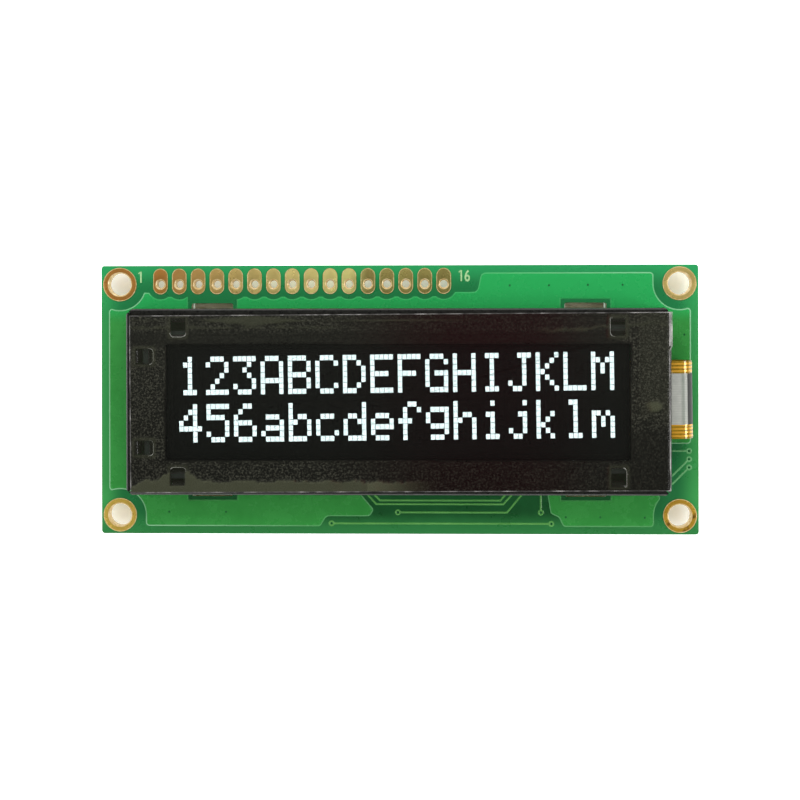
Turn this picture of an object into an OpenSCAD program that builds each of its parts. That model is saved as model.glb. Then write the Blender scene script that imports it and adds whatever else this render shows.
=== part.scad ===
// Character display module: a light-emitting glass panel held on a circuit board by a folded steel bezel.
// X runs along the board, Y towards the row of header holes, and Z out of the display's face.
// The origin is the middle of the four mounting holes, on the rear face of the laminate.

/* [Board] */
// Length of the circuit board along X
board_length = 80; // [78:0.5:90]
// Depth of the circuit board along Y
board_depth = 36; // [36:0.5:44]
// Thickness of the bare laminate
board_thickness = 1.6; // [0.8:0.1:2.4]
// Radius of the board's corners
board_corner = 0.4; // [0.1:0.1:1]
// Height of the lacquered copper above the laminate
copper_height = 0.04; // [0.02:0.01:0.08]
// Height of the bare gilded rings and header pads above the laminate
pad_height = 0.05; // [0.03:0.01:0.1]
// Wall of the plating inside a plated hole, drawn thicker than the real skin
plating = 0.17; // [0.16:0.01:0.2]

/* [Mounting holes] */
// Distance of a mounting hole's middle from the board's edges
mount_inset = 2.5; // [2.4:0.1:3]
// Diameter of a mounting hole inside its plating
mount_hole = 3; // [2.2:0.1:3.2]
// Diameter of the bare ring round a mounting hole
mount_ring = 4.5; // [3.8:0.1:4.7]

/* [Header holes] */
// Number of header holes
pin_count = 16; // [14:1:16]
// Pitch of the header holes
pin_pitch = 2.54; // [2.5:0.01:2.6]
// Diameter of a header hole inside its plating
pin_hole = 1; // [0.8:0.05:1.2]
// Distance of the first header hole from the board's left edge
pin_first = 8; // [7.6:0.1:10]
// Distance of the row of header holes from the board's upper edge
pin_inset = 2.5; // [2.4:0.1:3]
// Width of a header pad
pad_width = 1.95; // [1.5:0.05:2]
// Length of a header pad
pad_length = 3.45; // [2.6:0.05:3.5]
// Distance from a header hole up to the middle of its pad
pad_rise = 0.4; // [0:0.05:0.5]

/* [Copper] */
// Distance of the copper field from the board's edges
field_inset = 1; // [0.6:0.1:1.2]
// How far the copper field runs in under the bezel
field_under = 1.4; // [1:0.1:2]
// Clearance round a mounting hole's ring
ring_clearance = 1.2; // [0.8:0.1:1.4]
// Clearance round a header pad
pad_clearance = 0.7; // [0.5:0.05:0.8]
// Clearance round a tab's slot
slot_clearance = 0.5; // [0.3:0.05:0.7]
// Width of a signal track
track_width = 0.25; // [0.15:0.05:0.4]
// Width of a power track
power_width = 0.6; // [0.4:0.05:0.8]
// Clearance between a track and the copper field
track_clearance = 0.3; // [0.2:0.05:0.4]
// Diameter of a via's ring
via_ring = 0.8; // [0.6:0.05:1]
// Diameter of a via's hole
via_hole = 0.35; // [0.2:0.05:0.5]

/* [Bezel] */
// Length of the bezel along X
bezel_length = 71.5; // [70.9:0.1:73]
// Depth of the bezel along Y
bezel_depth = 24.5; // [24.1:0.1:24.8]
// Height of the bezel above the board's copper
bezel_height = 5; // [4.6:0.1:7]
// Thickness of the bezel's sheet steel
sheet = 0.4; // [0.3:0.05:0.5]
// Outer radius of the bezel's bends
bend_radius = 0.75; // [0.6:0.05:0.9]
// Width of the seam where two walls meet at a corner
corner_seam = 0.15; // [0.1:0.05:0.3]
// Length cut off each wall's end at a corner
corner_cut = 0.8; // [0.3:0.05:1]
// Width of the bezel's face at each end of the window
face_end = 5.35; // [5.05:0.1:6.25]
// Width of the bezel's face above and below the window
face_side = 4.65; // [4.45:0.1:5.25]
// Radius of the window's corners
window_corner = 0.3; // [0.1:0.1:1]

/* [Bezel lugs] */
// Width of a lug
lug_width = 1.7; // [1.2:0.1:2]
// Gap punched along each side of a lug
lug_gap = 0.15; // [0.1:0.05:0.25]
// Length of the hole that a bent lug leaves
lug_length = 2.4; // [2:0.1:2.6]
// Distance of a lug's root from the bezel's outer wall
lug_root = 1.25; // [1.1:0.05:1.35]
// Inner radius of a lug's bend
lug_bend = 0.15; // [0.1:0.05:0.25]
// Depth that a lug reaches below its bend
lug_drop = 1.5; // [1:0.1:1.8]
// Distance of the lugs on the left side from the bezel's middle
side_lug_y = 6; // [4:0.1:7]
// Distance of the upper and lower lugs from the bezel's ends
lug_from_end = 6.95; // [6.25:0.1:15.75]

/* [Bezel tabs] */
// Distance of a tab's middle from the bezel's end
tab_from_end = 10.75; // [8.75:0.5:19.75]
// Width of a tab
tab_width = 5.2; // [4:0.1:6]
// Reach of a folded tab beyond the bezel's wall
tab_reach = 1.3; // [1.1:0.05:1.5]
// Inner radius of a tab's fold
tab_bend = 0.2; // [0.1:0.05:0.3]
// Room at each end of a tab in its slot
slot_end_room = 0.2; // [0.15:0.05:0.4]
// Room on the inner side of a tab in its slot
slot_inner_room = 0.15; // [0.1:0.05:0.3]
// Room on the outer side of a tab in its slot
slot_outer_room = 0.7; // [0.6:0.05:0.8]
// Radius of a slot's corners
slot_corner = 0.3; // [0.1:0.05:0.5]

/* [Display panel] */
// Distance of the front glass's ends from the outside of the bezel
panel_end_room = 2.35; // [2.05:0.1:2.75]
// Distance of the front glass's long sides from the outside of the bezel
panel_side_room = 2.55; // [2.35:0.1:2.75]
// Angle by which the panel sits turned in the bezel
panel_skew = 0.7; // [0:0.1:0.8]
// Thickness of the polarizer
polarizer_thickness = 0.2; // [0.1:0.05:0.3]
// Distance of the polarizer's edge from the glass's edge
polarizer_inset = 0.8; // [0.4:0.1:1.2]
// Thickness of the front glass
front_glass_thickness = 0.7; // [0.5:0.05:0.8]
// Thickness of the rear glass
rear_glass_thickness = 0.7; // [0.5:0.05:0.8]
// Distance of the rear glass's edge from the front glass's edge
rear_glass_inset = 0.5; // [0.2:0.1:0.8]
// Width of the bare ledge of front glass that the flexible circuit is bonded to
bond_ledge = 3; // [2.4:0.1:3.2]
// Thickness of the seal between the two glasses
seal_thickness = 0.05; // [0.03:0.01:0.1]
// Distance of the recess in the rear glass inside the window's ends
recess_end = 0.7; // [0.4:0.05:1.4]
// Distance of the recess in the rear glass inside the window's long sides
recess_side = 0.4; // [0.1:0.05:1.1]
// Radius of the recess's corners
recess_corner = 1; // [0.4:0.1:2]
// How deep the recess is cut into the rear glass
recess_cut = 0.35; // [0.3:0.05:0.4]
// Thickness of the drying sheet in the recess
desiccant_thickness = 0.15; // [0.1:0.05:0.2]
// Distance of the drying sheet's edge from the recess's edge
desiccant_inset = 1.2; // [0.5:0.1:3]

/* [Character cells] */
// Characters in a line
character_columns = 16; // [8:1:16]
// Lines of characters
character_lines = 2; // [1:1:2]
// Distance of the outer characters from the recess's ends
cell_end_margin = 1.05; // [1:0.05:3]
// Distance of the outer lines from the recess's long sides
cell_side_margin = 1.18; // [1:0.02:1.28]
// Distance between dots along X
dot_pitch_x = 0.61; // [0.5:0.01:0.62]
// Distance between dots along Y
dot_pitch_y = 0.73; // [0.6:0.01:0.74]
// Gap between two dots
dot_gap = 0.05; // [0.03:0.01:0.1]
// Distance of the characters' middle above the panel's middle
cells_rise = 0.2; // [0:0.05:0.4]
// Thickness of the light-emitting layer
cell_thickness = 0.03; // [0.02:0.01:0.05]

/* [Flexible circuit] */
// Width of the flexible circuit
flex_width = 10.2; // [8:0.05:11]
// Distance of its middle line below the panel's middle
flex_drop = 0.25; // [0:0.05:0.3]
// Thickness of its film
flex_thickness = 0.08; // [0.05:0.01:0.12]
// Thickness of its tinned leads
lead_thickness = 0.03; // [0.02:0.01:0.04]
// Width of the field of fine leads in its middle
lead_field = 6.9; // [5:0.1:7]
// Width of a broad lead beside that field
broad_lead = 0.26; // [0.2:0.02:0.3]
// Broad leads on each side of the field
broad_lead_count = 3; // [1:1:3]
// How far its fold stands out past the bezel's wall
flex_reach = 3.1; // [2.4:0.1:3.3]
// Length that is bonded to the front glass
flex_bond = 2; // [1.5:0.1:2.2]
// Length of its lower run inside the bezel's wall
flex_foot = 5.5; // [4.5:0.1:6]
// Room round it where it passes through the bezel's wall
flex_room = 0.8; // [0.6:0.05:1]
// Height of its opening's upper edge above it
flex_headroom = 0.2; // [0.1:0.05:0.3]
// Height of the tinned lands that it is soldered to
land_height = 0.1; // [0.06:0.01:0.14]
// Length of a land
land_length = 1.6; // [1:0.1:2]
// Lands along its width
land_count = 16; // [8:1:20]
// Width of a land
land_width = 0.3; // [0.2:0.02:0.36]
// Length, width and height of the driver chip
driver_length = 8; // [6:0.1:8]
driver_width = 1.3; // [0.8:0.1:1.6]
driver_height = 0.4; // [0.3:0.05:0.6]

/* [Foam] */
// Width of a foam strip
foam_width = 3.5; // [2:0.1:4]
// Distance of a foam strip's middle from the panel's middle
foam_y = 7; // [6.6:0.1:7.2]
// Distance of a foam strip's left end from the bezel's outer wall
foam_left = 5; // [4:0.5:12]
// Gap between a foam strip and the flexible circuit's end
foam_gap = 1.5; // [1:0.1:4]

/* [Rear components] */
// Side of the square inductor
inductor_side = 4; // [3:0.1:4.5]
// Height of the inductor's body
inductor_height = 1.2; // [0.9:0.05:1.6]
// Cut of the inductor's corners
inductor_corner = 0.6; // [0.3:0.1:1]
// Length of an inductor terminal
terminal_length = 1.2; // [0.8:0.1:1.3]
// Thickness of a terminal or a lead
lead_sheet = 0.15; // [0.1:0.01:0.2]
// Length of the diode's body
diode_length = 2.7; // [2.4:0.1:3]
// Width of the diode's body and of the converter chip's body
package_width = 1.6; // [1.4:0.1:1.8]
// Height of the diode's body and of the converter chip's body
package_height = 1; // [0.8:0.05:1.2]
// Length of the converter chip's body
converter_length = 2.9; // [2.7:0.1:3.2]
// Pitch of the converter chip's leads
converter_pitch = 0.95; // [0.9:0.01:1]
// Reach of a bent lead beyond its body
lead_reach = 0.6; // [0.5:0.05:0.8]
// Width of a converter chip's lead
converter_lead = 0.4; // [0.3:0.05:0.5]
// Width of a diode's lead
diode_lead = 0.7; // [0.5:0.05:1]
// Length, width and height of a small chip resistor
resistor_length = 1.6; // [1.4:0.1:1.8]
resistor_width = 0.8; // [0.6:0.05:0.9]
resistor_height = 0.45; // [0.3:0.05:0.6]
// Length, width and height of a small chip capacitor
capacitor_length = 1.6; // [1.4:0.1:1.8]
capacitor_width = 0.8; // [0.6:0.05:0.9]
capacitor_height = 0.8; // [0.6:0.05:0.9]
// Length, width and height of a large chip capacitor
reservoir_length = 2; // [1.8:0.1:2.4]
reservoir_width = 1.25; // [1:0.05:1.5]
reservoir_height = 1.3; // [0.9:0.05:1.6]
// Length of a chip's end cap
chip_cap = 0.35; // [0.25:0.05:0.4]
// How far a bare pad shows round what stands on it
pad_margin = 0.25; // [0.15:0.05:0.3]

/* [Hidden] */
$fn = 48;

// A cut reaches this far past the face that it opens
past = 1;
arc_steps = 6;

// Levels of the stack, from the board's rear face up
copper_top = board_thickness + copper_height;
bezel_top = copper_top + bezel_height;
panel_top = bezel_top - sheet;
front_glass_top = panel_top - polarizer_thickness;
front_glass_base = front_glass_top - front_glass_thickness;
rear_glass_top = front_glass_base - seal_thickness;
rear_glass_base = rear_glass_top - rear_glass_thickness;
land_top = board_thickness + land_height;

// Half sizes that many pieces share
board_x = board_length / 2;
board_y = board_depth / 2;
mount_x = board_x - mount_inset;
mount_y = board_y - mount_inset;
bezel_x = bezel_length / 2;
bezel_y = bezel_depth / 2;
field_x = board_x - field_inset;
field_y = board_y - field_inset;
under_x = bezel_x - field_under;
under_y = bezel_y - field_under;
ring_keepout = mount_ring / 2 + ring_clearance;

// Header row
pin_y = board_y - pin_inset;
function pin_x(index) = -board_x + pin_first + index * pin_pitch;
last_pin_x = pin_x(pin_count - 1);
pad_low_y = pin_y + pad_rise - (pad_length - pad_width) / 2;

// Window, panel and recess, each fitted inside the one before
window_length = bezel_length - 2 * face_end;
window_depth = bezel_depth - 2 * face_side;
panel_length = bezel_length - 2 * panel_end_room;
panel_depth = bezel_depth - 2 * panel_side_room;
recess_length = window_length - 2 * recess_end;
recess_width = window_depth - 2 * recess_side;

// Slots for the bezel's tabs
tab_x = bezel_x - tab_from_end;
slot_length = tab_width + 2 * slot_end_room;
slot_inner_y = bezel_y - sheet - slot_inner_room;
slot_outer_y = bezel_y + slot_outer_room;

// Places of the lugs: [x, y, turn], the root on the side away from the window
long_lug_x = bezel_x - lug_from_end;
lug_places = [
    [-long_lug_x, bezel_y - lug_root, -90],
    [long_lug_x, bezel_y - lug_root, -90],
    [-long_lug_x, lug_root - bezel_y, 90],
    [long_lug_x, lug_root - bezel_y, 90],
    [lug_root - bezel_x, side_lug_y, 0],
    [lug_root - bezel_x, -side_lug_y, 0]];

// Flexible circuit: its leads lie on the outside of the fold
fold_radius = (front_glass_base - land_top) / 2;
fold_z = land_top + fold_radius;
fold_x = bezel_x + flex_reach - fold_radius;
flex_left_x = panel_length / 2 - flex_bond;
flex_foot_x = bezel_x - flex_foot;
margin_width = (flex_width - lead_field) / 2;

// Characters
cell_width = 5 * dot_pitch_x - dot_gap;
cell_height = 8 * dot_pitch_y - dot_gap;
character_pitch = (recess_length - 2 * cell_end_margin - cell_width) / (character_columns - 1);
line_pitch = (recess_width - 2 * cell_side_margin - cell_height) / max(character_lines - 1, 1);

// Places of the rear components: [x, y, turn]
inductor_place = [-18, 0, 0];
converter_place = [-10.5, 0, 0];
diode_place = [-18, -6.6, 0];
reservoir_places = [[-10.5, -7.2, 0], [24.5, -6, 0], [24.5, 2.6, 0]];
resistor_places = concat([for (i = [0 : 5]) [-3 + 2.4 * i, -2.5, 90]], [[-6, 3.6, 0], [-10.5, 3.6, 0]]);
capacitor_places = [for (i = [0 : 3]) [12.6 + 2.4 * i, -2.5, 90]];
inductor_lead_x = (inductor_side - terminal_length) / 2;
diode_lead_x = diode_length / 2 + lead_reach;
bus_y = -5.4;
lane_top_y = 10.2;
lane_pitch = 0.7;
lane_end_x = 27.4;
first_lane_pin = 6;
last_lane_pin = 13;

// Points of a closed outline whose corners, each [x, y, radius], are rounded
function rounded(corners) =
    let (count = len(corners))
    [for (i = [0 : count - 1])
        each corner_arc(corners[(i + count - 1) % count], corners[i], corners[(i + 1) % count])];

function flat(point) = [point[0], point[1]];

function unit(vector) = vector / norm(vector);

// Points of one rounded corner, from the side of the corner before it to the side of the one after
function corner_arc(before, corner, after) =
    let (
        here = flat(corner),
        radius = corner[2],
        back = unit(flat(before) - here),
        ahead = unit(flat(after) - here),
        half = acos(back * ahead) / 2,
        centre = here + unit(back + ahead) * radius / sin(half),
        start = here + back * radius / tan(half) - centre,
        side = sign(back[0] * ahead[1] - back[1] * ahead[0]),
        turn = side * (2 * half - 180)
    )
    radius == 0 ? [here] : [for (k = [0 : arc_steps]) centre + turned(start, turn * k / arc_steps)];

function turned(vector, angle) =
    [vector[0] * cos(angle) - vector[1] * sin(angle), vector[0] * sin(angle) + vector[1] * cos(angle)];

// Rectangle with rounded corners, centred
module rounded_rectangle(length, depth, radius) {
    square([length - 2 * radius, depth], center = true);
    square([length, depth - 2 * radius], center = true);
    for (x = [-1, 1], y = [-1, 1])
        translate([x * (length / 2 - radius), y * (depth / 2 - radius)])
            circle(radius);
}

// Rectangle between two corners
module span(low, high) {
    translate(low)
        square(high - low);
}

// Long pad with round ends, upright and centred
module long_pad(width, length) {
    square([width, length - width], center = true);
    for (y = [-1, 1])
        translate([0, y * (length - width) / 2])
            circle(d = width);
}

// Direction across a track's run from one point to the next
function across(start, end) = turned(unit(end - start), 90);

// One side of a track along a list of points, its corners mitred
function track_side(points, offset) =
    let (last = len(points) - 1)
    [for (i = [0 : last])
        let (
            before = across(points[max(i - 1, 0)], points[max(i, 1)]),
            after = across(points[min(i, last - 1)], points[min(i + 1, last)]),
            mitre = unit(before + after)
        )
        points[i] + mitre * offset / (mitre * before)];

// Track of one width along a list of points
module track(points, width) {
    left = track_side(points, width / 2);
    polygon(concat(track_side(points, -width / 2), [for (i = [len(left) - 1 : -1 : 0]) left[i]]));
}

module via_rings(points) {
    for (point = points)
        translate(point)
            circle(d = via_ring);
}

module via_holes(points) {
    for (point = points)
        translate(point)
            circle(d = via_hole);
}

module at_mounts() {
    for (x = [-1, 1], y = [-1, 1])
        translate([x * mount_x, y * mount_y])
            children();
}

module at_pins() {
    for (i = [0 : pin_count - 1])
        translate([pin_x(i), pin_y])
            children();
}

module at_slots() {
    for (x = [-1, 1], y = [-1, 1])
        translate([x * tab_x, y * (slot_inner_y + slot_outer_y) / 2])
            children();
}

// The panel and what is bonded to it sit a little turned in the bezel
module in_panel() {
    rotate(panel_skew)
        children();
}

// The flexible circuit and its chip sit a little low on the panel
module in_flex() {
    in_panel()
        translate([0, -flex_drop, 0])
            children();
}

// Bare laminate with its plated holes' bores and the tabs' slots
module circuit_board() {
    color("seagreen")
        linear_extrude(board_thickness)
            difference() {
                rounded_rectangle(board_length, board_depth, board_corner);
                at_mounts() circle(d = mount_hole + 2 * plating);
                at_pins() circle(d = pin_hole + 2 * plating);
                at_slots() rounded_rectangle(slot_length, slot_outer_y - slot_inner_y, slot_corner);
            }
}

// Area that the copper field keeps clear of: rings, header pads and slots
module field_keepouts() {
    at_mounts() circle(ring_keepout);
    at_pins()
        translate([0, pad_rise])
            long_pad(pad_width + 2 * pad_clearance, pad_length + 2 * pad_clearance);
    // The field's edge is trimmed to a gentle wave between two pads
    span([pin_x(0), pad_low_y - pad_width / 2 - pad_clearance / 2], [last_pin_x, board_y]);
    at_slots()
        square([slot_length + 2 * slot_clearance, slot_outer_y - slot_inner_y + 2 * slot_clearance],
            center = true);
    // Between a slot and the pads above it no copper is left
    span([-tab_x - slot_length / 2 - slot_clearance, slot_outer_y],
        [-tab_x + slot_length / 2 + slot_clearance, pad_low_y]);
}

// Edge lines of the front field beside the tracks below the bezel
shelf_y = -field_y + 1.35;
field_end_x = mount_x - ring_keepout;
field_neck_x = field_end_x + 0.8;
neck_y = bezel_y + 0.25;
foot_x = bezel_x - 2.75;
front_left_field = [[-mount_x, -under_y, 0], [-mount_x, -mount_y, 0], [-field_end_x, -mount_y, 0],
    [-field_end_x, -field_y, 0.5], [-10.5, -field_y, 0.5], [-9.7, shelf_y, 0.7],
    [-3.9, shelf_y, 0.6], [-3.3, shelf_y + 0.9, 0.5], [-6.6, -under_y, 0]];
tall_via_x = 19;
front_right_field = [[tall_via_x + 0.6, -under_y, 0], [20.3, shelf_y + 0.4, 0.5],
    [21.4, shelf_y - 0.1, 0.4], [22, -field_y, 0.5], [field_end_x, -field_y, 0.5],
    [field_end_x, -mount_y, 0], [field_neck_x, -mount_y, 0], [field_neck_x, -neck_y, 0.6],
    [foot_x, -neck_y, 0.3], [foot_x, -under_y, 0.3]];
note_x = last_pin_x + 5;
note_y = pin_y - 1.1;
front_top_field = [[-mount_x, under_y, 0], [mount_x, under_y, 0], [mount_x, mount_y, 0],
    [field_end_x, mount_y, 0], [field_end_x, field_y, 0.5], [note_x, field_y, 0.8],
    [note_x - 0.5, note_y, 0.8], [last_pin_x + 1.4, note_y, 0], [-mount_x, note_y, 0]];
strip_y = mount_y - ring_keepout + 0.2;
right_strip_y = -flex_width / 2 - flex_room;
front_left_strip = [[-under_x, -strip_y, 0], [-under_x, strip_y, 0], [-field_x, strip_y, 0.5],
    [-field_x, -strip_y, 0.5]];
front_right_strip = [[under_x, strip_y, 0], [under_x, right_strip_y, 0], [field_x, right_strip_y, 0.5],
    [field_x, strip_y, 0.5]];

// Copper field under the lacquer, seen as lighter green round the bezel
module front_copper() {
    color("mediumseagreen")
        translate([0, 0, board_thickness])
            linear_extrude(copper_height)
                difference() {
                    for (field = [front_left_field, front_right_field, front_top_field, front_left_strip,
                            front_right_strip])
                        polygon(rounded(field));
                    field_keepouts();
                }
}

// Tracks below the bezel: each starts or ends under it. The first four vias are theirs.
track_rows = [-field_y + 0.4, -field_y + 1.9, -field_y + 3, -field_y + 3.5];
side_via_x = field_x - 0.3;
side_via_rows = [-6.85, -7.95, -9.05];
side_track_drop = 2.2;
side_track_x = side_via_x - side_track_drop;
front_via_points = [[-9, track_rows[0]], [20.4, track_rows[0]], [-0.1, track_rows[1]],
    [tall_via_x, track_rows[1]], for (row = side_via_rows) [side_via_x, row]];
front_track_points = [
    [front_via_points[0], front_via_points[1]],
    [front_via_points[2], [14.5, track_rows[1]], [18, -under_y]],
    [[-5.9, -under_y], [-3, track_rows[2]], [14, track_rows[2]], [16.8, -under_y]],
    [[-5.1, -under_y], [-2.5, track_rows[3]], [13.6, track_rows[3]], [15.9, -under_y]],
    [front_via_points[3], [tall_via_x, -under_y - 0.4]],
    [front_via_points[4], [under_x, side_via_rows[0]]],
    for (row = [side_via_rows[1], side_via_rows[2]])
        [[side_via_x, row], [side_track_x, row - side_track_drop], [under_x, row - side_track_drop]]];

module front_tracks() {
    color("darkseagreen")
        translate([0, 0, board_thickness])
            linear_extrude(copper_height)
                difference() {
                    union() {
                        for (points = front_track_points)
                            track(points, track_width);
                        via_rings(front_via_points);
                    }
                    via_holes(front_via_points);
                }
}

// Plated hole: a pad on each face of the board, joined by a barrel. The pad's outline is the child.
module plated_hole(hole) {
    difference() {
        union() {
            for (z = [-pad_height, board_thickness])
                translate([0, 0, z])
                    linear_extrude(pad_height)
                        children();
            cylinder(h = board_thickness, d = hole + 2 * plating);
        }
        translate([0, 0, -past])
            cylinder(h = board_thickness + 2 * past, d = hole);
    }
}

module mounting_rings() {
    color("goldenrod")
        at_mounts()
            plated_hole(mount_hole)
                circle(d = mount_ring);
}

module header_pads() {
    color("darkkhaki")
        at_pins()
            plated_hole(pin_hole)
                translate([0, pad_rise])
                    long_pad(pad_width, pad_length);
}

// Cross-section of a block whose two upper corners are bent to a radius
module arch(width, height, radius) {
    translate([-width / 2, -past])
        square([width, height - radius + past]);
    translate([radius - width / 2, -past])
        square([width - 2 * radius, height + past]);
    for (x = [-1, 1])
        translate([x * (width / 2 - radius), height - radius])
            circle(radius);
}

// Block with bent upper edges that meet in mitred corners, standing on the bezel's seat
module bent_block(length, depth, height, radius) {
    intersection() {
        rotate([90, 0, 0])
            linear_extrude(depth, center = true)
                arch(length, height, radius);
        rotate([90, 0, 90])
            linear_extrude(length, center = true)
                arch(depth, height, radius);
        translate([-length, -depth, 0])
            cube([2 * length, 2 * depth, height]);
    }
}

// Hole left in the face by a bent lug: open corners at the root, round ones at the far end
module lug_hole() {
    width = lug_width + 2 * lug_gap;
    corner = width / 4;
    translate([0, -width / 2])
        square([lug_length - corner, width]);
    translate([0, corner - width / 2])
        square([lug_length, width - 2 * corner]);
    for (y = [-1, 1])
        translate([lug_length - corner, y * (width / 2 - corner)])
            circle(corner);
}

// Lug bent down at its root, seen along its width
module lug_section() {
    intersection() {
        difference() {
            circle(lug_bend + sheet);
            circle(lug_bend);
        }
        square(lug_bend + sheet);
    }
    translate([lug_bend, -lug_drop])
        square([sheet, lug_drop]);
}

module bent_lug() {
    translate([0, lug_width / 2, panel_top - lug_bend])
        rotate([90, 0, 0])
            linear_extrude(lug_width)
                lug_section();
}

// Tab that goes down through its slot and folds outwards behind the board, seen along the wall
module tab_section() {
    fold_level = tab_bend - copper_height;
    translate([bezel_y - sheet, fold_level])
        square([sheet, copper_top - fold_level]);
    translate([bezel_y + tab_bend, fold_level])
        intersection() {
            difference() {
                circle(tab_bend + sheet);
                circle(tab_bend);
            }
            translate([-tab_bend - sheet, -tab_bend - sheet])
                square(tab_bend + sheet);
        }
    translate([bezel_y + tab_bend, -copper_height - sheet])
        square([tab_reach - tab_bend, sheet]);
}

module folded_tab() {
    translate([-tab_width / 2, 0, 0])
        rotate([90, 0, 90])
            linear_extrude(tab_width)
                tab_section();
}

// Folded sheet-steel frame: face with a window and lugs, four walls, and tabs that clamp the board
module bezel() {
    color("dimgray") {
        difference() {
            translate([0, 0, copper_top])
                difference() {
                    bent_block(bezel_length, bezel_depth, bezel_height, bend_radius);
                    translate([0, 0, -past])
                        bent_block(bezel_length - 2 * sheet, bezel_depth - 2 * sheet,
                            bezel_height - sheet + past, bend_radius - sheet);
                }
            translate([0, 0, panel_top - past])
                linear_extrude(sheet + 2 * past) {
                    rounded_rectangle(window_length, window_depth, window_corner);
                    for (place = lug_places)
                        translate(flat(place))
                            rotate(place[2])
                                lug_hole();
                }
            for (x = [-1, 1], y = [-1, 1]) {
                translate([x * (bezel_x - bend_radius), y * (bezel_y - bend_radius), copper_top - past])
                    rotate(atan2(y, x))
                        translate([0, -corner_seam / 2, 0])
                            cube([2 * bend_radius, corner_seam, bezel_height + 2 * past]);
                translate([x * bezel_x, y * bezel_y, copper_top - past])
                    linear_extrude(bezel_height + 2 * past)
                        rotate(45)
                            square(corner_cut * sqrt(2), center = true);
            }
            translate([bezel_x - bend_radius, -flex_width / 2 - flex_room, copper_top - past])
                cube([2 * bend_radius, flex_width + 2 * flex_room,
                    front_glass_base + flex_headroom - copper_top + past]);
        }
        for (place = lug_places)
            translate(flat(place))
                rotate(place[2])
                    bent_lug();
        for (x = [-1, 1], turn = [0, 180])
            translate([x * tab_x, 0, 0])
                rotate(turn)
                    folded_tab();
    }
}

module polarizer() {
    color([0.08, 0.08, 0.07])
        in_panel()
            translate([0, 0, front_glass_top])
                linear_extrude(polarizer_thickness)
                    square([panel_length - 2 * polarizer_inset, panel_depth - 2 * polarizer_inset],
                        center = true);
}

module front_glass() {
    color("lightcyan", 0.4)
        in_panel()
            translate([0, 0, front_glass_base])
                linear_extrude(front_glass_thickness)
                    square([panel_length, panel_depth], center = true);
}

// Outline of the rear glass, shorter at the right by the ledge
module rear_glass_outline() {
    half_x = panel_length / 2;
    half_y = panel_depth / 2 - rear_glass_inset;
    span([rear_glass_inset - half_x, -half_y], [half_x - bond_ledge, half_y]);
}

module recess_outline(inset) {
    rounded_rectangle(recess_length - 2 * inset, recess_width - 2 * inset, recess_corner);
}

// Light-emitting cells on the underside of the front glass, one for each character
module character_cells() {
    color("whitesmoke")
        in_panel()
            translate([0, 0, front_glass_base - cell_thickness])
                linear_extrude(cell_thickness)
                    for (column = [0 : character_columns - 1], line = [0 : character_lines - 1])
                        translate([(column - (character_columns - 1) / 2) * character_pitch,
                            (line - (character_lines - 1) / 2) * line_pitch + cells_rise])
                            square([cell_width, cell_height], center = true);
}

module edge_seal() {
    color("gray")
        in_panel()
            translate([0, 0, rear_glass_top])
                linear_extrude(seal_thickness)
                    difference() {
                        rear_glass_outline();
                        recess_outline(0);
                    }
}

module rear_glass() {
    color("slategray")
        in_panel()
            translate([0, 0, rear_glass_base])
                difference() {
                    linear_extrude(rear_glass_thickness)
                        rear_glass_outline();
                    translate([0, 0, rear_glass_thickness - recess_cut])
                        linear_extrude(recess_cut + past)
                            recess_outline(0);
                }
}

module desiccant_sheet() {
    color("ivory")
        in_panel()
            translate([0, 0, rear_glass_top - recess_cut])
                linear_extrude(desiccant_thickness)
                    recess_outline(desiccant_inset);
}

// Foam strips that carry the glass on the board, clear of the flexible circuit
module foam_strips() {
    left = foam_left - bezel_x;
    right = flex_foot_x - foam_gap;
    color("darkslategray")
        for (y = [-1, 1])
            translate([left, y * foam_y - foam_width / 2, board_thickness])
                cube([right - left, foam_width, rear_glass_base - board_thickness]);
}

// Section of a layer of the fold between two depths below its outside
module fold_section(outer, inner) {
    thickness = inner - outer;
    translate([flex_left_x, fold_radius - inner])
        square([fold_x - flex_left_x, thickness]);
    translate([flex_foot_x, outer - fold_radius])
        square([fold_x - flex_foot_x, thickness]);
    translate([fold_x, 0])
        intersection() {
            difference() {
                circle(fold_radius - outer);
                circle(fold_radius - inner);
            }
            translate([0, -fold_radius])
                square([fold_radius, 2 * fold_radius]);
        }
}

// Layer of the flexible circuit, of one width, about a middle line
module flex_layer(middle, width, outer, inner) {
    translate([0, middle + width / 2, fold_z])
        rotate([90, 0, 0])
            linear_extrude(width)
                fold_section(outer, inner);
}

// Amber film bonded under the front glass and folded back under it onto the board
module flex_film() {
    color("goldenrod")
        in_flex()
            flex_layer(0, flex_width, lead_thickness, lead_thickness + flex_thickness);
}

// Tinned leads on the outside of the film: a field of fine ones and some broad ones beside it
module flex_leads() {
    pitch = margin_width / (broad_lead_count + 0.5);
    color("silver")
        in_flex() {
            flex_layer(0, lead_field, 0, lead_thickness);
            for (side = [-1, 1], i = [1 : broad_lead_count])
                flex_layer(side * (lead_field / 2 + (i - 0.3) * pitch), broad_lead, 0, lead_thickness);
        }
}

// Bare chip on the lower run of the film, inside the fold
module driver_chip() {
    color([0.2, 0.2, 0.22])
        in_flex()
            translate([flex_foot_x + land_length + driver_width, 0,
                land_top + lead_thickness + flex_thickness])
                linear_extrude(driver_height)
                    square([driver_width, driver_length], center = true);
}

// Tinned lands on the board under the end of the lower run
module flex_lands() {
    pitch = lead_field / land_count;
    color("lightgray")
        translate([flex_foot_x + land_length / 2, 0, board_thickness])
            linear_extrude(land_height)
                for (i = [0 : land_count - 1])
                    translate([0, (i - (land_count - 1) / 2) * pitch])
                        square([land_length, land_width], center = true);
}

// Places something on the rear face, upside down: [x, y, turn]
module on_rear(place) {
    translate([place[0], place[1], -copper_height])
        rotate([180, 0, place[2]])
            children();
}

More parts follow.
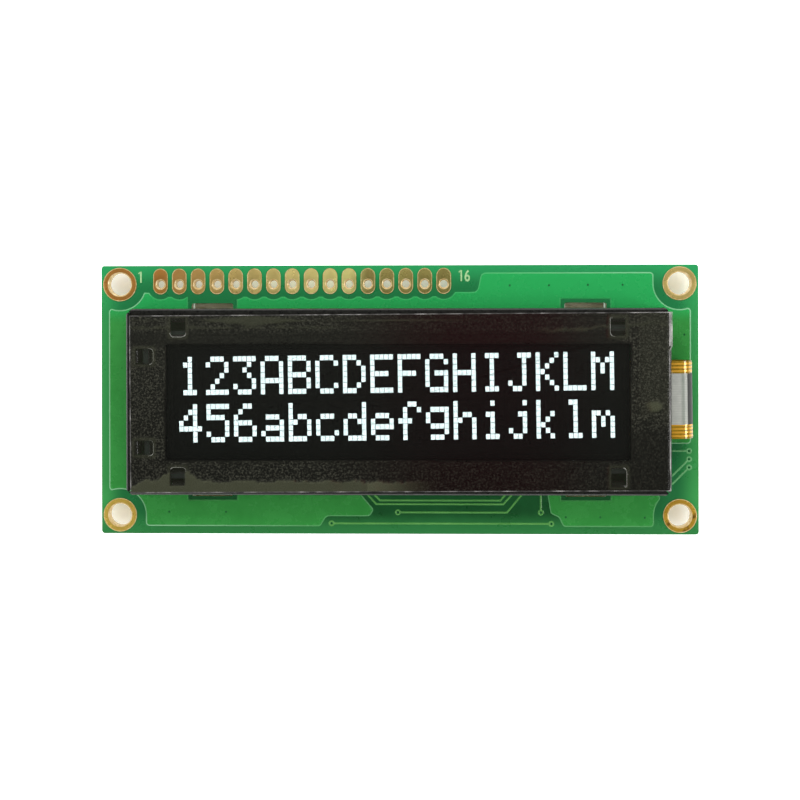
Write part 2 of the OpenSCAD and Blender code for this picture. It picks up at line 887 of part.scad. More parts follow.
// Tracks on the rear: data lanes from the header, and the supply's short links
lanes = [for (i = [first_lane_pin : last_lane_pin])
    let (y = lane_top_y - (last_lane_pin - i) * lane_pitch)
    [[pin_x(i), pin_y], [pin_x(i), y], [lane_end_x - (i - first_lane_pin) * lane_pitch, y]]];
chip_row = concat([for (i = [0 : 5]) resistor_places[i]], capacitor_places);
stubs = [for (place = chip_row) [[place[0], place[1] + resistor_length / 2], [place[0], 0.8]]];
drops = [for (place = chip_row) [[place[0], place[1] - resistor_length / 2], [place[0], bus_y]]];
bus = [[chip_row[0][0], bus_y], [reservoir_places[1][0] - reservoir_length / 2, bus_y]];
supply = [[pin_x(1), pin_y], [pin_x(1), inductor_place[1] + 1.5], [pin_x(1) + 1.5, inductor_place[1]],
    [inductor_place[0] - inductor_lead_x, inductor_place[1]]];
switched = [[inductor_place[0] + inductor_lead_x, inductor_place[1]],
    [converter_place[0] - package_width / 2 - lead_reach, converter_place[1]]];
raised = [[diode_place[0] - diode_lead_x, diode_place[1]], [-22.5, diode_place[1]], [-22.5, -8.8],
    [-13, -8.8], [reservoir_places[0][0] - reservoir_length / 2, reservoir_places[0][1]]];
joined = [[diode_place[0] + diode_lead_x, diode_place[1]],
    [inductor_place[0] + inductor_lead_x, inductor_place[1]]];
rear_via_points = concat([for (lane = lanes) lane[2]], [for (stub = stubs) stub[1]]);
power_tracks = [supply, switched, raised, joined, bus];
signal_tracks = concat(lanes, stubs, drops);

// Strips of the rear field beside the mounting holes, and the bare ground that the components stand in
rear_strips = [[-field_x, -strip_y, 0.5], [field_x, -strip_y, 0.5], [field_x, strip_y, 0.5],
    [-field_x, strip_y, 0.5]];
component_field = [[-25.5, -9.8, 1], [29, -9.8, 1], [29, 10.8, 1], [-19, 10.8, 1], [-19, 4.4, 1],
    [-25.5, 4.4, 1]];

// Outlines of the rear tracks, each wider than the track by the extra
module rear_track_outlines(extra) {
    for (points = signal_tracks)
        track(points, track_width + extra);
    for (points = power_tracks)
        track(points, power_width + extra);
}

// Copper field under the lacquer on the rear
module rear_copper() {
    color("mediumseagreen")
        translate([0, 0, -copper_height])
            linear_extrude(copper_height)
                difference() {
                    union() {
                        span([-mount_x, -field_y], [mount_x, note_y]);
                        polygon(rounded(rear_strips));
                    }
                    field_keepouts();
                    polygon(rounded(component_field));
                    rear_track_outlines(2 * track_clearance);
                }
}

// Tracks and via rings on the rear, cut round the bare pads that they lead to
module rear_tracks() {
    color("darkseagreen")
        translate([0, 0, -copper_height])
            linear_extrude(copper_height)
                difference() {
                    union() {
                        rear_track_outlines(0);
                        via_rings(rear_via_points);
                    }
                    via_holes(rear_via_points);
                    at_pins()
                        translate([0, pad_rise])
                            long_pad(pad_width, pad_length);
                    pad_outlines();
                }
}

// Two pads under the ends of a chip: [length, width]
module chip_pads(size) {
    for (x = [-1, 1])
        translate([x * (size[0] - chip_cap) / 2, 0])
            square([chip_cap + 2 * pad_margin, size[1] + pad_margin], center = true);
}

// Outlines of every bare pad on the rear, in the board's own directions
module pad_outlines() {
    for (place = resistor_places)
        translate(flat(place)) rotate(place[2]) chip_pads([resistor_length, resistor_width]);
    for (place = capacitor_places)
        translate(flat(place)) rotate(place[2]) chip_pads([capacitor_length, capacitor_width]);
    for (place = reservoir_places)
        translate(flat(place)) rotate(place[2]) chip_pads([reservoir_length, reservoir_width]);
    translate(flat(inductor_place))
        for (x = [-1, 1])
            translate([x * inductor_lead_x, 0])
                square([terminal_length + 2 * pad_margin, inductor_side + pad_margin], center = true);
    translate(flat(diode_place))
        for (x = [-1, 1])
            translate([x * diode_lead_x, 0])
                square([lead_reach + pad_margin, diode_lead + 2 * pad_margin], center = true);
    translate(flat(converter_place))
        at_converter_leads()
            translate([package_width / 2 + lead_reach, 0])
                square([lead_reach + pad_margin, converter_lead + pad_margin], center = true);
}

module rear_pads() {
    color("khaki")
        translate([0, 0, -copper_height])
            linear_extrude(copper_height)
                pad_outlines();
}

// Square ferrite body with cut corners, standing on its two terminals
module power_inductor() {
    half = inductor_side / 2;
    cut = half - inductor_corner;
    color([0.25, 0.25, 0.26])
        on_rear(inductor_place)
            translate([0, 0, lead_sheet])
                linear_extrude(inductor_height)
                    polygon([[-half, -cut], [-cut, -half], [cut, -half], [half, -cut], [half, cut],
                        [cut, half], [-cut, half], [-half, cut]]);
}

module inductor_terminals() {
    color("silver")
        on_rear(inductor_place)
            for (x = [-1, 1])
                translate([x * inductor_lead_x, 0, 0])
                    linear_extrude(lead_sheet)
                        square([terminal_length, inductor_side - 2 * inductor_corner], center = true);
}

// Moulded body with drafted sides and a flat band where its leads come out, across X
band_low = 0.5;
module moulded_body(across, along) {
    half = across / 2;
    draft = 0.1;
    low = 0.1;
    top = low + package_height;
    translate([0, along / 2, 0])
        rotate([90, 0, 0])
            linear_extrude(along)
                polygon([[draft - half, low], [half - draft, low], [half, band_low],
                    [half, band_low + lead_sheet], [half - draft, top], [draft - half, top],
                    [-half, band_low + lead_sheet], [-half, band_low]]);
}

// Bent lead from a body's side down to its pad, of one width, towards +X from the side's face
module bent_lead(width) {
    shoulder = 0.4 * lead_reach;
    foot = 0.6 * lead_reach;
    heel = foot - lead_sheet;
    full = lead_reach + lead_sheet;
    translate([0, width / 2, 0])
        rotate([90, 0, 0])
            linear_extrude(width)
                polygon([[0, band_low], [shoulder - lead_sheet, band_low], [heel, 0], [full, 0],
                    [full, lead_sheet], [foot, lead_sheet], [shoulder, band_low + lead_sheet],
                    [0, band_low + lead_sheet]]);
}

module rectifier_diode() {
    color([0.12, 0.12, 0.12])
        on_rear(diode_place)
            moulded_body(diode_length, package_width);
}

module diode_leads() {
    color("silver")
        on_rear(diode_place)
            for (turn = [0, 180])
                rotate(turn)
                    translate([diode_length / 2, 0, 0])
                        bent_lead(diode_lead);
}

module converter_chip() {
    color([0.12, 0.12, 0.12])
        on_rear(converter_place)
            moulded_body(package_width, converter_length);
}

// Two leads on one side of the converter chip and three on the other
module at_converter_leads() {
    for (y = [-1, 1])
        translate([0, y * converter_pitch])
            children();
    for (y = [-1, 0, 1])
        translate([0, y * converter_pitch])
            rotate(180)
                children();
}

module converter_leads() {
    color("silver")
        on_rear(converter_place)
            at_converter_leads()
                translate([package_width / 2, 0, 0])
                    bent_lead(converter_lead);
}

// Ceramic body between a chip's end caps: [length, width, height]
module chip_body(size) {
    translate([0, 0, size[2] / 2])
        cube([size[0] - 2 * chip_cap, size[1], size[2]], center = true);
}

// Tinned end caps of a chip, a little proud of its body
module chip_caps(size) {
    proud = 0.04;
    for (x = [-1, 1])
        translate([x * (size[0] - chip_cap) / 2, 0, (size[2] + proud) / 2])
            cube([chip_cap, size[1] + proud, size[2] + proud], center = true);
}

resistor_size = [resistor_length, resistor_width, resistor_height];
capacitor_size = [capacitor_length, capacitor_width, capacitor_height];
reservoir_size = [reservoir_length, reservoir_width, reservoir_height];

module resistor_bodies() {
    color([0.15, 0.15, 0.16])
        for (place = resistor_places)
            on_rear(place) chip_body(resistor_size);
}

module resistor_caps() {
    color("silver")
        for (place = resistor_places)
            on_rear(place) chip_caps(resistor_size);
}

module capacitor_bodies() {
    color("tan") {
        for (place = capacitor_places)
            on_rear(place) chip_body(capacitor_size);
        for (place = reservoir_places)
            on_rear(place) chip_body(reservoir_size);
    }
}

module capacitor_caps() {
    color("silver") {
        for (place = capacitor_places)
            on_rear(place) chip_caps(capacitor_size);
        for (place = reservoir_places)
            on_rear(place) chip_caps(reservoir_size);
    }
}

circuit_board();
front_copper();
front_tracks();
mounting_rings();
header_pads();
bezel();
polarizer();
front_glass();
character_cells();
edge_seal();
rear_glass();
desiccant_sheet();
foam_strips();
flex_film();
flex_leads();
driver_chip();
flex_lands();
rear_copper();
rear_tracks();
rear_pads();
power_inductor();
inductor_terminals();
rectifier_diode();
diode_leads();
converter_chip();
converter_leads();
resistor_bodies();
resistor_caps();
capacitor_bodies();
capacitor_caps();
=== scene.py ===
import math

import bpy
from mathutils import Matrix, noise


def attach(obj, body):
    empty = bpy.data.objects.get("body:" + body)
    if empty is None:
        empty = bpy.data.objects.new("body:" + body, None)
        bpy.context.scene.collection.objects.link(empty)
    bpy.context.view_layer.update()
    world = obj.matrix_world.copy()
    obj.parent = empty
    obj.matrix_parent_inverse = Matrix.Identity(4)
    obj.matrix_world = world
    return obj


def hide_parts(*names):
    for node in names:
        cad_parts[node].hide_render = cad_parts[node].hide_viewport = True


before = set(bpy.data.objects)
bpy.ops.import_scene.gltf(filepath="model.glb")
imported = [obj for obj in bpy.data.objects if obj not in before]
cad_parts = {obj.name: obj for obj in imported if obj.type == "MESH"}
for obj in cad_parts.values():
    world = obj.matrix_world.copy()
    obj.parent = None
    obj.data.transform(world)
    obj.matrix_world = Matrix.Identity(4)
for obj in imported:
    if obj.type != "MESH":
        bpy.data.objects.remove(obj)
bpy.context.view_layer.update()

# Circuit board
# A sheet of woven glass and epoxy, drilled and plated, with green lacquer cured on both faces.
# It is sawn from a larger panel after coating, so its edges show the bare straw-coloured layers.
MM = 0.001
BOARD_FRONT = 1.6 * MM
BOARD_HALF = (40 * MM, 18 * MM, 0)
BOARD_LAYER = 0.2 * MM
LAMINATE_DARK = "#8F8A58"
LAMINATE_LIGHT = "#B9B27C"
LACQUER_CLOUD = 3 * MM
LACQUER_RELIEF = 0.004 * MM
# Base tones of the lacquer, painted shade under the bezel.
SHADED_LACQUER_DARK = "#0A421A"
SHADED_LACQUER_LIGHT = "#105324"
# The lacquer is lighter towards the ends, as painted light.
LIT_LACQUER_ENDS = "#1B6B36"
ENDS_FROM = 12 * MM
ENDS_FULL = 5 * MM
# The lacquer is lighter towards the header side, as painted light.
LIT_LACQUER_UPPER = "#1C7C45"
UPPER_FULL = 9 * MM
# Width of the painted glow at the board's edges.
EDGE_GLOW = 3.2 * MM
# Tones of the painted glow at the edge from the lower side to the header side, each with its Y in
# millimetres.
EDGE_GREENS = ((-18, "#2D7C40"), (-13, "#3C9A4E"), (10, "#359C52"), (17, "#289E5A"))
# A wave texture of this scale has a period of one metre.
WAVE = math.pi / 10
# A face is steep when the upright part of its normal is below this.
STEEP = 0.5


def linear(colour):
    """Linear colour with full alpha from an sRGB hex value."""
    parts = [int(colour[i:i + 2], 16) / 255 for i in (1, 3, 5)]
    return [p / 12.92 if p <= 0.04045 else ((p + 0.055) / 1.055) ** 2.4 for p in parts] + [1.0]


# In a colour mix, inputs 0, 6 and 7 are the share and the two colours, and output 2 is the result.
def add_node(tree, kind, values=None, links=None, stops=(), **settings):
    """One node with its settings, its sockets' values, what is linked to them and a ramp's stops.

    What is linked is a socket, or a node that stands for its first output in use.
    """
    node = tree.nodes.new("ShaderNode" + kind)
    for name, value in settings.items():
        setattr(node, name, value)
    for name, value in (values or {}).items():
        node.inputs[name].default_value = value
    for name, source in (links or {}).items():
        if isinstance(source, bpy.types.Node):
            source = [output for output in source.outputs if output.enabled][0]
        tree.links.new(source, node.inputs[name])
    if stops:
        ramp = node.color_ramp.elements
        for position, tone in stops:
            ramp.new(position).color = linear(tone)
        ramp.remove(ramp[len(ramp) - 1])
        ramp.remove(ramp[0])
    return node


def mottled(name, dark, light, patch, roughness, relief=0.0, sockets=None):
    """Material whose colour, gloss and height vary over patches of one real size."""
    material = bpy.data.materials.new(name)
    material.use_nodes = True
    tree = material.node_tree
    shader = tree.nodes["Principled BSDF"]
    place = add_node(tree, "TexCoord").outputs["Object"]
    cloud = add_node(tree, "TexNoise", {"Scale": 1 / patch, "Detail": 4.0, "Roughness": 0.62},
                     {"Vector": place}).outputs["Fac"]
    usual = {"From Min": 0.3, "From Max": 0.7}
    share = add_node(tree, "MapRange", usual, {"Value": cloud})
    tint = add_node(tree, "Mix", {6: linear(dark), 7: linear(light)},
                    {0: share}, data_type="RGBA").outputs[2]
    swing = {"To Min": roughness * 0.85, "To Max": roughness * 1.15}
    gloss = add_node(tree, "MapRange", {**usual, **swing}, {"Value": cloud})
    tree.links.new(tint, shader.inputs["Base Color"])
    tree.links.new(gloss.outputs["Result"], shader.inputs["Roughness"])
    if relief:
        bump = add_node(tree, "Bump", {"Distance": relief}, {"Height": cloud})
        tree.links.new(bump.outputs["Normal"], shader.inputs["Normal"])
    for socket, value in (sockets or {}).items():
        shader.inputs[socket].default_value = value
    return material, tree, shader, place, tint


def dress(material, *nodes):
    """Gives CAD nodes a material in place of their plain one."""
    for node in nodes:
        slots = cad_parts[node].data.materials
        slots.clear()
        slots.append(material)


# Glossy lacquer: deep green in the middle as painted shade under the bezel.
# Paler edges are a painted glow of light soaking into the laminate; lighter ends and header side are painted
# light.
lacquer, tree, shader, place, green = mottled("photo-imaged lacquer on laminate", SHADED_LACQUER_DARK,
                                              SHADED_LACQUER_LIGHT, LACQUER_CLOUD, roughness=0.3,
                                              relief=LACQUER_RELIEF)
layers = add_node(tree, "TexWave", {"Scale": WAVE / BOARD_LAYER, "Distortion": 1.5},
                  {"Vector": place}, bands_direction="Z")
straw = add_node(tree, "Mix", {6: linear(LAMINATE_DARK), 7: linear(LAMINATE_LIGHT)},
                 {0: layers.outputs["Fac"]}, data_type="RGBA")
inward = add_node(tree, "VectorMath", {}, {0: place}, operation="ABSOLUTE")
inward = add_node(tree, "VectorMath", {0: BOARD_HALF}, {1: inward}, operation="SUBTRACT")
inward = add_node(tree, "SeparateXYZ", {}, {"Vector": inward})
at_end = add_node(tree, "MapRange", {"From Min": ENDS_FROM, "From Max": ENDS_FULL},
                  {"Value": inward.outputs["X"]}, interpolation_type="SMOOTHSTEP")
inward = add_node(tree, "Math", {}, {0: inward.outputs["X"], 1: inward.outputs["Y"]}, operation="MINIMUM")
inward = add_node(tree, "MapRange", {"From Max": EDGE_GLOW}, {"Value": inward},
                  interpolation_type="SMOOTHSTEP")
up = add_node(tree, "SeparateXYZ", {}, {"Vector": place}).outputs["Y"]
upper = add_node(tree, "MapRange", {"From Min": -BOARD_HALF[1], "From Max": UPPER_FULL}, {"Value": up})
along = add_node(tree, "MapRange", {"From Min": -BOARD_HALF[1], "From Max": BOARD_HALF[1]}, {"Value": up})
glow = add_node(tree, "ValToRGB", {}, {"Fac": along},
                stops=[((y * MM / BOARD_HALF[1] + 1) / 2, tone) for y, tone in EDGE_GREENS])
# Painted light at the ends and the header side, then the painted glow at the edges.
green = add_node(tree, "Mix", {7: linear(LIT_LACQUER_ENDS)}, {0: at_end, 6: green}, data_type="RGBA")
green = add_node(tree, "Mix", {7: linear(LIT_LACQUER_UPPER)}, {0: upper, 6: green}, data_type="RGBA")
green = add_node(tree, "Mix", {}, {0: inward, 6: glow, 7: green}, data_type="RGBA")
facing = add_node(tree, "SeparateXYZ", {}, {"Vector": place.node.outputs["Normal"]})
level = add_node(tree, "Math", {}, {0: facing.outputs["Z"]}, operation="ABSOLUTE")
level = add_node(tree, "Math", {1: STEEP}, {0: level}, operation="GREATER_THAN")
surface = add_node(tree, "Mix", {}, {0: level, 6: straw, 7: green}, data_type="RGBA")
tree.links.new(surface.outputs[2], shader.inputs["Base Color"])
dress(lacquer, "circuit_board")

# Copper under the lacquer
# Fields and tracks of etched copper lie on the laminate under the same lacquer, which is thinner there.
# The lacquer flows down round every edge of the copper, and that slope carries a painted highlight as a pale
# line.
FIELD_DARK = "#318E3C"
FIELD_LIGHT = "#3A9A45"
# The field is lighter towards the header side, as painted light.
LIT_FIELD_UPPER = "#27B05A"
FIELD_UPPER_FROM = 10 * MM
FIELD_UPPER_FULL = 13 * MM
# The pale tone on the slopes is a painted highlight.
FIELD_HIGHLIGHT = "#B4E4C0"
FIELD_SLOPE = 0.16 * MM
TRACK_DARK = "#529A4A"
TRACK_LIGHT = "#65AC56"
TRACK_PALE = "#6BB072"
TRACK_PALE_FROM = 20 * MM
TRACK_PALE_FULL = 36 * MM
TRACK_SLOPE = 0.06 * MM
SLOPE_FALL = 0.033 * MM
# A face is flat, or quite level, when the upright part of its normal is above these.
FLAT = 0.9
LEVEL = 0.995
MERGE = 0.0005 * MM
SMOOTH_ANGLE = math.radians(35)
# Parts of the board in millimetres where the painted highlight on the slope is stronger or weaker, and how
# much.
PADS_ACROSS = (-33.5, 9)
PADS_LOW = 11.8
SLOTS_ACROSS = (20, 33)
SLOTS_UP = (11, 13.9)
SHADED_SHINE = 0.05
HOLE_PLACE = (37.5, 15.5)
HOLE_REACH = 5.5
HOLE_SHINE = 0.55
LEFT_SIDE = -36
LEFT_SHINE = 0.02
LONG_SIDES = 13
LOWER_RIGHT = (10, -8)
DULL_SHINE = 0.15
USUAL_SHINE = 0.42
# How often the shine swells and fades within a millimetre.
SHINE_WAVES = 0.3
SHINE_MEAN = 0.85
SHINE_SWING = 0.6


def copy_of(node, name):
    """New piece with a merged copy of a CAD node's mesh, the only thing selected."""
    piece = bpy.data.objects.new(name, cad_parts[node].data.copy())
    bpy.context.scene.collection.objects.link(piece)
    bpy.ops.object.select_all(action="DESELECT")
    piece.select_set(True)
    bpy.context.view_layer.objects.active = piece
    bpy.ops.object.mode_set(mode="EDIT")
    bpy.ops.mesh.select_all(action="SELECT")
    bpy.ops.mesh.customdata_custom_splitnormals_clear()
    bpy.ops.mesh.remove_doubles(threshold=MERGE)
    bpy.ops.object.mode_set(mode="OBJECT")
    return piece


def pick(piece, kind, test):
    """Leaves a piece in edit mode with only the faces, or edges, selected that pass with their corners."""
    bpy.context.view_layer.objects.active = piece
    bpy.ops.object.mode_set(mode="EDIT")
    bpy.ops.mesh.select_mode(type=kind)
    bpy.ops.mesh.select_all(action="DESELECT")
    bpy.ops.object.mode_set(mode="OBJECT")
    for part in piece.data.polygons if kind == "FACE" else piece.data.edges:
        part.select = test(part, [piece.data.vertices[v].co for v in part.vertices])
    bpy.ops.object.mode_set(mode="EDIT")


def keep(piece, material, slot, *nodes):
    """Finishes a piece: its material, the body it rides on and the nodes it stands for. The slot is not
    used.
    """
    if len(piece.data.materials) == 0:
        piece.data.materials.append(material)
    piece.data.materials[0] = material
    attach(piece, "root")
    if nodes:
        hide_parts(*nodes)


def paleness(x, y):
    """How strong the painted highlight on the lacquer's slope is at a place in millimetres, from 0 to 1."""
    below_pads = PADS_ACROSS[0] < x < PADS_ACROSS[1] and y > PADS_LOW
    round_slot = SLOTS_ACROSS[0] < abs(x) < SLOTS_ACROSS[1] and SLOTS_UP[0] < abs(y) < SLOTS_UP[1]
    if below_pads or round_slot:
        return SHADED_SHINE
    at_hole = math.hypot(abs(x) - HOLE_PLACE[0], abs(y) - HOLE_PLACE[1]) < HOLE_REACH
    if at_hole and (x < 0 or y > 0):
        shine = HOLE_SHINE
    elif x < LEFT_SIDE:
        shine = LEFT_SHINE
    elif abs(y) > LONG_SIDES or (x > LOWER_RIGHT[0] and y < LOWER_RIGHT[1]):
        shine = DULL_SHINE
    else:
        shine = USUAL_SHINE
    return shine * (SHINE_MEAN + SHINE_SWING * noise.noise((x * SHINE_WAVES, y * SHINE_WAVES, 0)))


# Lacquer on a copper field: the metal below throws light back, so it is a lighter green.
# It is lighter still towards the header side as painted light, and its slopes carry a painted highlight.
field_coat, tree, shader, place, green = mottled("photo-imaged lacquer on copper", FIELD_DARK, FIELD_LIGHT,
                                                 LACQUER_CLOUD, roughness=0.27, relief=LACQUER_RELIEF)
up = add_node(tree, "SeparateXYZ", {}, {"Vector": place})
up = add_node(tree, "MapRange", {"From Min": FIELD_UPPER_FROM, "From Max": FIELD_UPPER_FULL},
              {"Value": up.outputs["Y"]}, interpolation_type="SMOOTHSTEP")
green = add_node(tree, "Mix", {7: linear(LIT_FIELD_UPPER)}, {0: up, 6: green}, data_type="RGBA").outputs[2]
facing = add_node(tree, "SeparateXYZ", {}, {"Vector": place.node.outputs["Normal"]})
level = add_node(tree, "Math", {}, {0: facing.outputs["Z"]}, operation="ABSOLUTE")
level = add_node(tree, "Math", {1: LEVEL}, {0: level}, operation="GREATER_THAN")
shine = add_node(tree, "Attribute", attribute_name="shine")
pale = add_node(tree, "Mix", {7: linear(FIELD_HIGHLIGHT)}, {0: shine.outputs["Fac"], 6: green},
                data_type="RGBA")
surface = add_node(tree, "Mix", {}, {0: level, 6: pale, 7: green}, data_type="RGBA")
tree.links.new(surface.outputs[2], shader.inputs["Base Color"])
# Lacquer on the tracks: it rounds over them, so each one shows as a thin pale green line.
track_coat, tree, shader, place, green = mottled("photo-imaged lacquer on tracks", TRACK_DARK, TRACK_LIGHT,
                                                 LACQUER_CLOUD, roughness=0.3)
right = add_node(tree, "SeparateXYZ", {}, {"Vector": place})
right = add_node(tree, "MapRange", {"From Min": TRACK_PALE_FROM, "From Max": TRACK_PALE_FULL},
                 {"Value": right.outputs["X"]})
green = add_node(tree, "Mix", {7: linear(TRACK_PALE)}, {0: right, 6: green}, data_type="RGBA")
tree.links.new(green.outputs[2], shader.inputs["Base Color"])
for node, side, slope, coat in (("front_copper", 1, FIELD_SLOPE, field_coat),
                                ("front_tracks", 1, TRACK_SLOPE, track_coat),
                                ("rear_copper", -1, FIELD_SLOPE, field_coat),
                                ("rear_tracks", -1, TRACK_SLOPE, track_coat)):
    coated = copy_of(node, "coated_" + node)
    pick(coated, "FACE", lambda face, corners: face.normal.z * side > FLAT)
    bpy.ops.transform.translate(value=(0, 0, -side * SLOPE_FALL))
    bpy.ops.mesh.inset(thickness=slope, depth=SLOPE_FALL)
    bpy.ops.object.mode_set(mode="OBJECT")
    bpy.ops.object.shade_flat()
    shine = [paleness(vertex.co.x / MM, vertex.co.y / MM) for vertex in coated.data.vertices]
    coated.data.attributes.new("shine", "FLOAT", "POINT").data.foreach_set("value", shine)
    keep(coated, coat, "masked_copper", node)

# Plated rings and pads
# Copper rings and pads with plated holes, left free of lacquer and flashed with gold over nickel.
# Plating rounds their rims and the knees of the holes, and reflections that change from place to place are
# painted into their colour.
GOLD_DARK = "#E2E2E2"
GOLD_LIGHT = "#FFFFFF"
STAIN = 2.5 * MM
ROW_SPAN = 40 * MM
# Painted reflections along the header side from left to right, each with its X in millimetres.
ROW_REFLECTIONS = ((-38, "#C48840"), (-32, "#D29549"), (-29.4, "#D4A65E"), (-21.8, "#DABF74"), (-14.2, "#F6E38F"),
          (-6.6, "#FFF79C"), (-4.2, "#A59957"), (1, "#B5A961"), (6, "#A09654"), (38, "#DFC677"))
# Painted reflections of the lower left and lower right rings.
LOWER_LEFT_REFLECTION = "#E8C45A"
LOWER_RIGHT_REFLECTION = "#D6A83A"
# Dark patches lie where X less Y is above this, which is only the lower right ring.
DARK_PATCHES_FROM = 34 * MM
DARK_PATCH_SIZE = 1.7 * MM
DARK_PATCH_SPOTS = {"From Min": 0.54, "From Max": 0.62, "To Max": 0.75}
DARK_PATCH_TONE = "#5A3A14"
RIM = 0.085 * MM
RIM_STEPS = 2
KNEE_STEPS = 3
BORE_HEIGHT = 1.65 * MM
# Each kind of plated hole with the width of the rounded knee where its barrel turns into the pad.
KNEES = (("mounting_rings", 0.15 * MM), ("header_pads", 0.22 * MM))
# Gold over nickel: a warm half gloss that mirrors less than clean metal, with its reflections painted into
# its colour.
gold, tree, shader, place, tint = mottled("gold flash over nickel", GOLD_DARK, GOLD_LIGHT, STAIN,
                                          roughness=0.26, relief=0.001 * MM, sockets={"Metallic": 0.45})
spot = add_node(tree, "SeparateXYZ", {}, {"Vector": place})
along = add_node(tree, "MapRange", {"From Min": -ROW_SPAN, "From Max": ROW_SPAN},
                 {"Value": spot.outputs["X"]})
reflection_tone = add_node(tree, "ValToRGB", {}, {"Fac": along},
                 stops=[((x * MM / ROW_SPAN + 1) / 2, tone) for x, tone in ROW_REFLECTIONS])
lower = add_node(tree, "Mix", {6: linear(LOWER_LEFT_REFLECTION), 7: linear(LOWER_RIGHT_REFLECTION)},
                 {0: along}, data_type="RGBA")
upper = add_node(tree, "Math", {1: 0.0}, {0: spot.outputs["Y"]}, operation="GREATER_THAN")
reflection_tone = add_node(tree, "Mix", {}, {0: upper, 6: lower, 7: reflection_tone}, data_type="RGBA")
# The gold's mottled tone times its painted reflections.
toned_gold = add_node(tree, "Mix", {0: 1.0}, {6: tint, 7: reflection_tone}, data_type="RGBA", blend_type="MULTIPLY")
patches = add_node(tree, "TexNoise", {"Scale": 1 / DARK_PATCH_SIZE, "Detail": 2.0}, {"Vector": place})
patches = add_node(tree, "MapRange", DARK_PATCH_SPOTS, {"Value": patches.outputs["Fac"]})
corner = add_node(tree, "Math", {}, {0: spot.outputs["X"], 1: spot.outputs["Y"]}, operation="SUBTRACT")
corner = add_node(tree, "Math", {1: DARK_PATCHES_FROM}, {0: corner}, operation="GREATER_THAN")
patches = add_node(tree, "Math", {}, {0: patches, 1: corner}, operation="MULTIPLY")
toned_gold = add_node(tree, "Mix", {7: linear(DARK_PATCH_TONE)}, {0: patches, 6: toned_gold}, data_type="RGBA")
tree.links.new(toned_gold.outputs[2], shader.inputs["Base Color"])
# Rims and barrels get a paler gold with little metal in it, a painted highlight, so they gleam as a pale
# line round each hole and pad.
rim_highlight_gold = mottled("gold rim with painted highlight", dark="#D0AA5C", light="#FFEDBE", patch=0.5 * MM, roughness=0.2,
                   sockets={"Metallic": 0.15})[0]
for node, knee in KNEES:
    plated = copy_of(node, "plated_" + node)
    plated.data.materials.append(rim_highlight_gold)
    for face in plated.data.polygons:
        heights = [plated.data.vertices[v].co.z for v in face.vertices]
        if max(heights) - min(heights) > BORE_HEIGHT:
            face.material_index = 1
    pick(plated, "FACE", lambda face, corners: face.material_index == 1)
    bpy.ops.mesh.region_to_loop()
    bpy.ops.mesh.bevel(offset=knee, segments=KNEE_STEPS, affect="EDGES", material=1)
    bpy.ops.object.mode_set(mode="OBJECT")
    pick(plated, "FACE", lambda face, corners: abs(face.normal.z) > FLAT or face.material_index == 1)
    bpy.ops.mesh.region_to_loop()
    bpy.ops.mesh.bevel(offset=RIM, segments=RIM_STEPS, affect="EDGES", material=1)
    bpy.ops.object.mode_set(mode="OBJECT")
    bpy.ops.object.shade_smooth_by_angle(angle=SMOOTH_ANGLE)
    for face in plated.data.polygons:
        if abs(face.normal.z) < STEEP:
            face.material_index = 1
    flats = plated.modifiers.new("flats", "WEIGHTED_NORMAL")
    flats.keep_sharp = True
    bpy.ops.object.modifier_apply(modifier=flats.name)
    keep(plated, gold, "gilding", node)

# Pin numbers
# The first and the last pin are marked with a thin plain number on the lacquer.
# It is screen-printed in pale ink, a film thinner than the copper, which spreads a little as it sets.
INK_SPREAD = 0.035 * MM
INK_HEIGHT = 0.015 * MM
FIGURE_SIZE = 2.1 * MM
FIGURE_WIDTH = 0.75
FLAG_LENGTH = 0.36 * MM
FLAG_WIDTH = 0.15 * MM
FLAG_SLANT = math.radians(45)
FLAG_PLACE = (0.19 * MM, 1.3 * MM)
# Each number with the left end of its foot in millimetres.
PIN_NUMBERS = (("1", -35.05, 15.75), ("16", 8.06, 15.86))
# Set ink is matt and a little uneven, so the green below shows through it.
ink = mottled("screen-printed ink", dark="#A4D293", light="#BCE6AA", patch=0.4 * MM, roughness=0.5)[0]
for figure, x, y in PIN_NUMBERS:
    ink_middle = BOARD_FRONT + INK_HEIGHT / 2
    bpy.ops.object.select_all(action="DESELECT")
    bpy.ops.object.text_add(location=(x * MM, y * MM, ink_middle))
    print_mark = bpy.context.object
    print_mark.name = "pin_number_" + figure
    print_mark.data.body = figure
    print_mark.data.size = FIGURE_SIZE
    print_mark.data.extrude = INK_HEIGHT / 2
    print_mark.data.offset = INK_SPREAD
    bpy.ops.object.convert(target="MESH")
    print_mark = bpy.context.object
    print_mark.scale.x = FIGURE_WIDTH
    bpy.ops.object.transform_apply(location=True, rotation=True, scale=True)
    bpy.ops.object.mode_set(mode="EDIT")
    bpy.ops.mesh.primitive_cube_add(size=1, location=(0, 0, 0))
    bpy.ops.transform.resize(value=(FLAG_LENGTH, FLAG_WIDTH, INK_HEIGHT))
    bpy.ops.transform.rotate(value=-FLAG_SLANT, orient_axis="Z", center_override=(0, 0, 0))
    bpy.ops.transform.translate(value=(x * MM + FLAG_PLACE[0], y * MM + FLAG_PLACE[1], ink_middle))
    bpy.ops.object.mode_set(mode="OBJECT")
    keep(print_mark, ink, "drying_sheet")

# Stitching vias
# Small plated holes tie the copper of the two faces together.
# The lacquer runs into each one before it cures, and leaves a dark round dimple.
VIA_RADIUS = 0.14 * MM
VIA_SIDES = 16
VIA_RISE = 0.006 * MM
FIELD_FRONT = 1.64 * MM
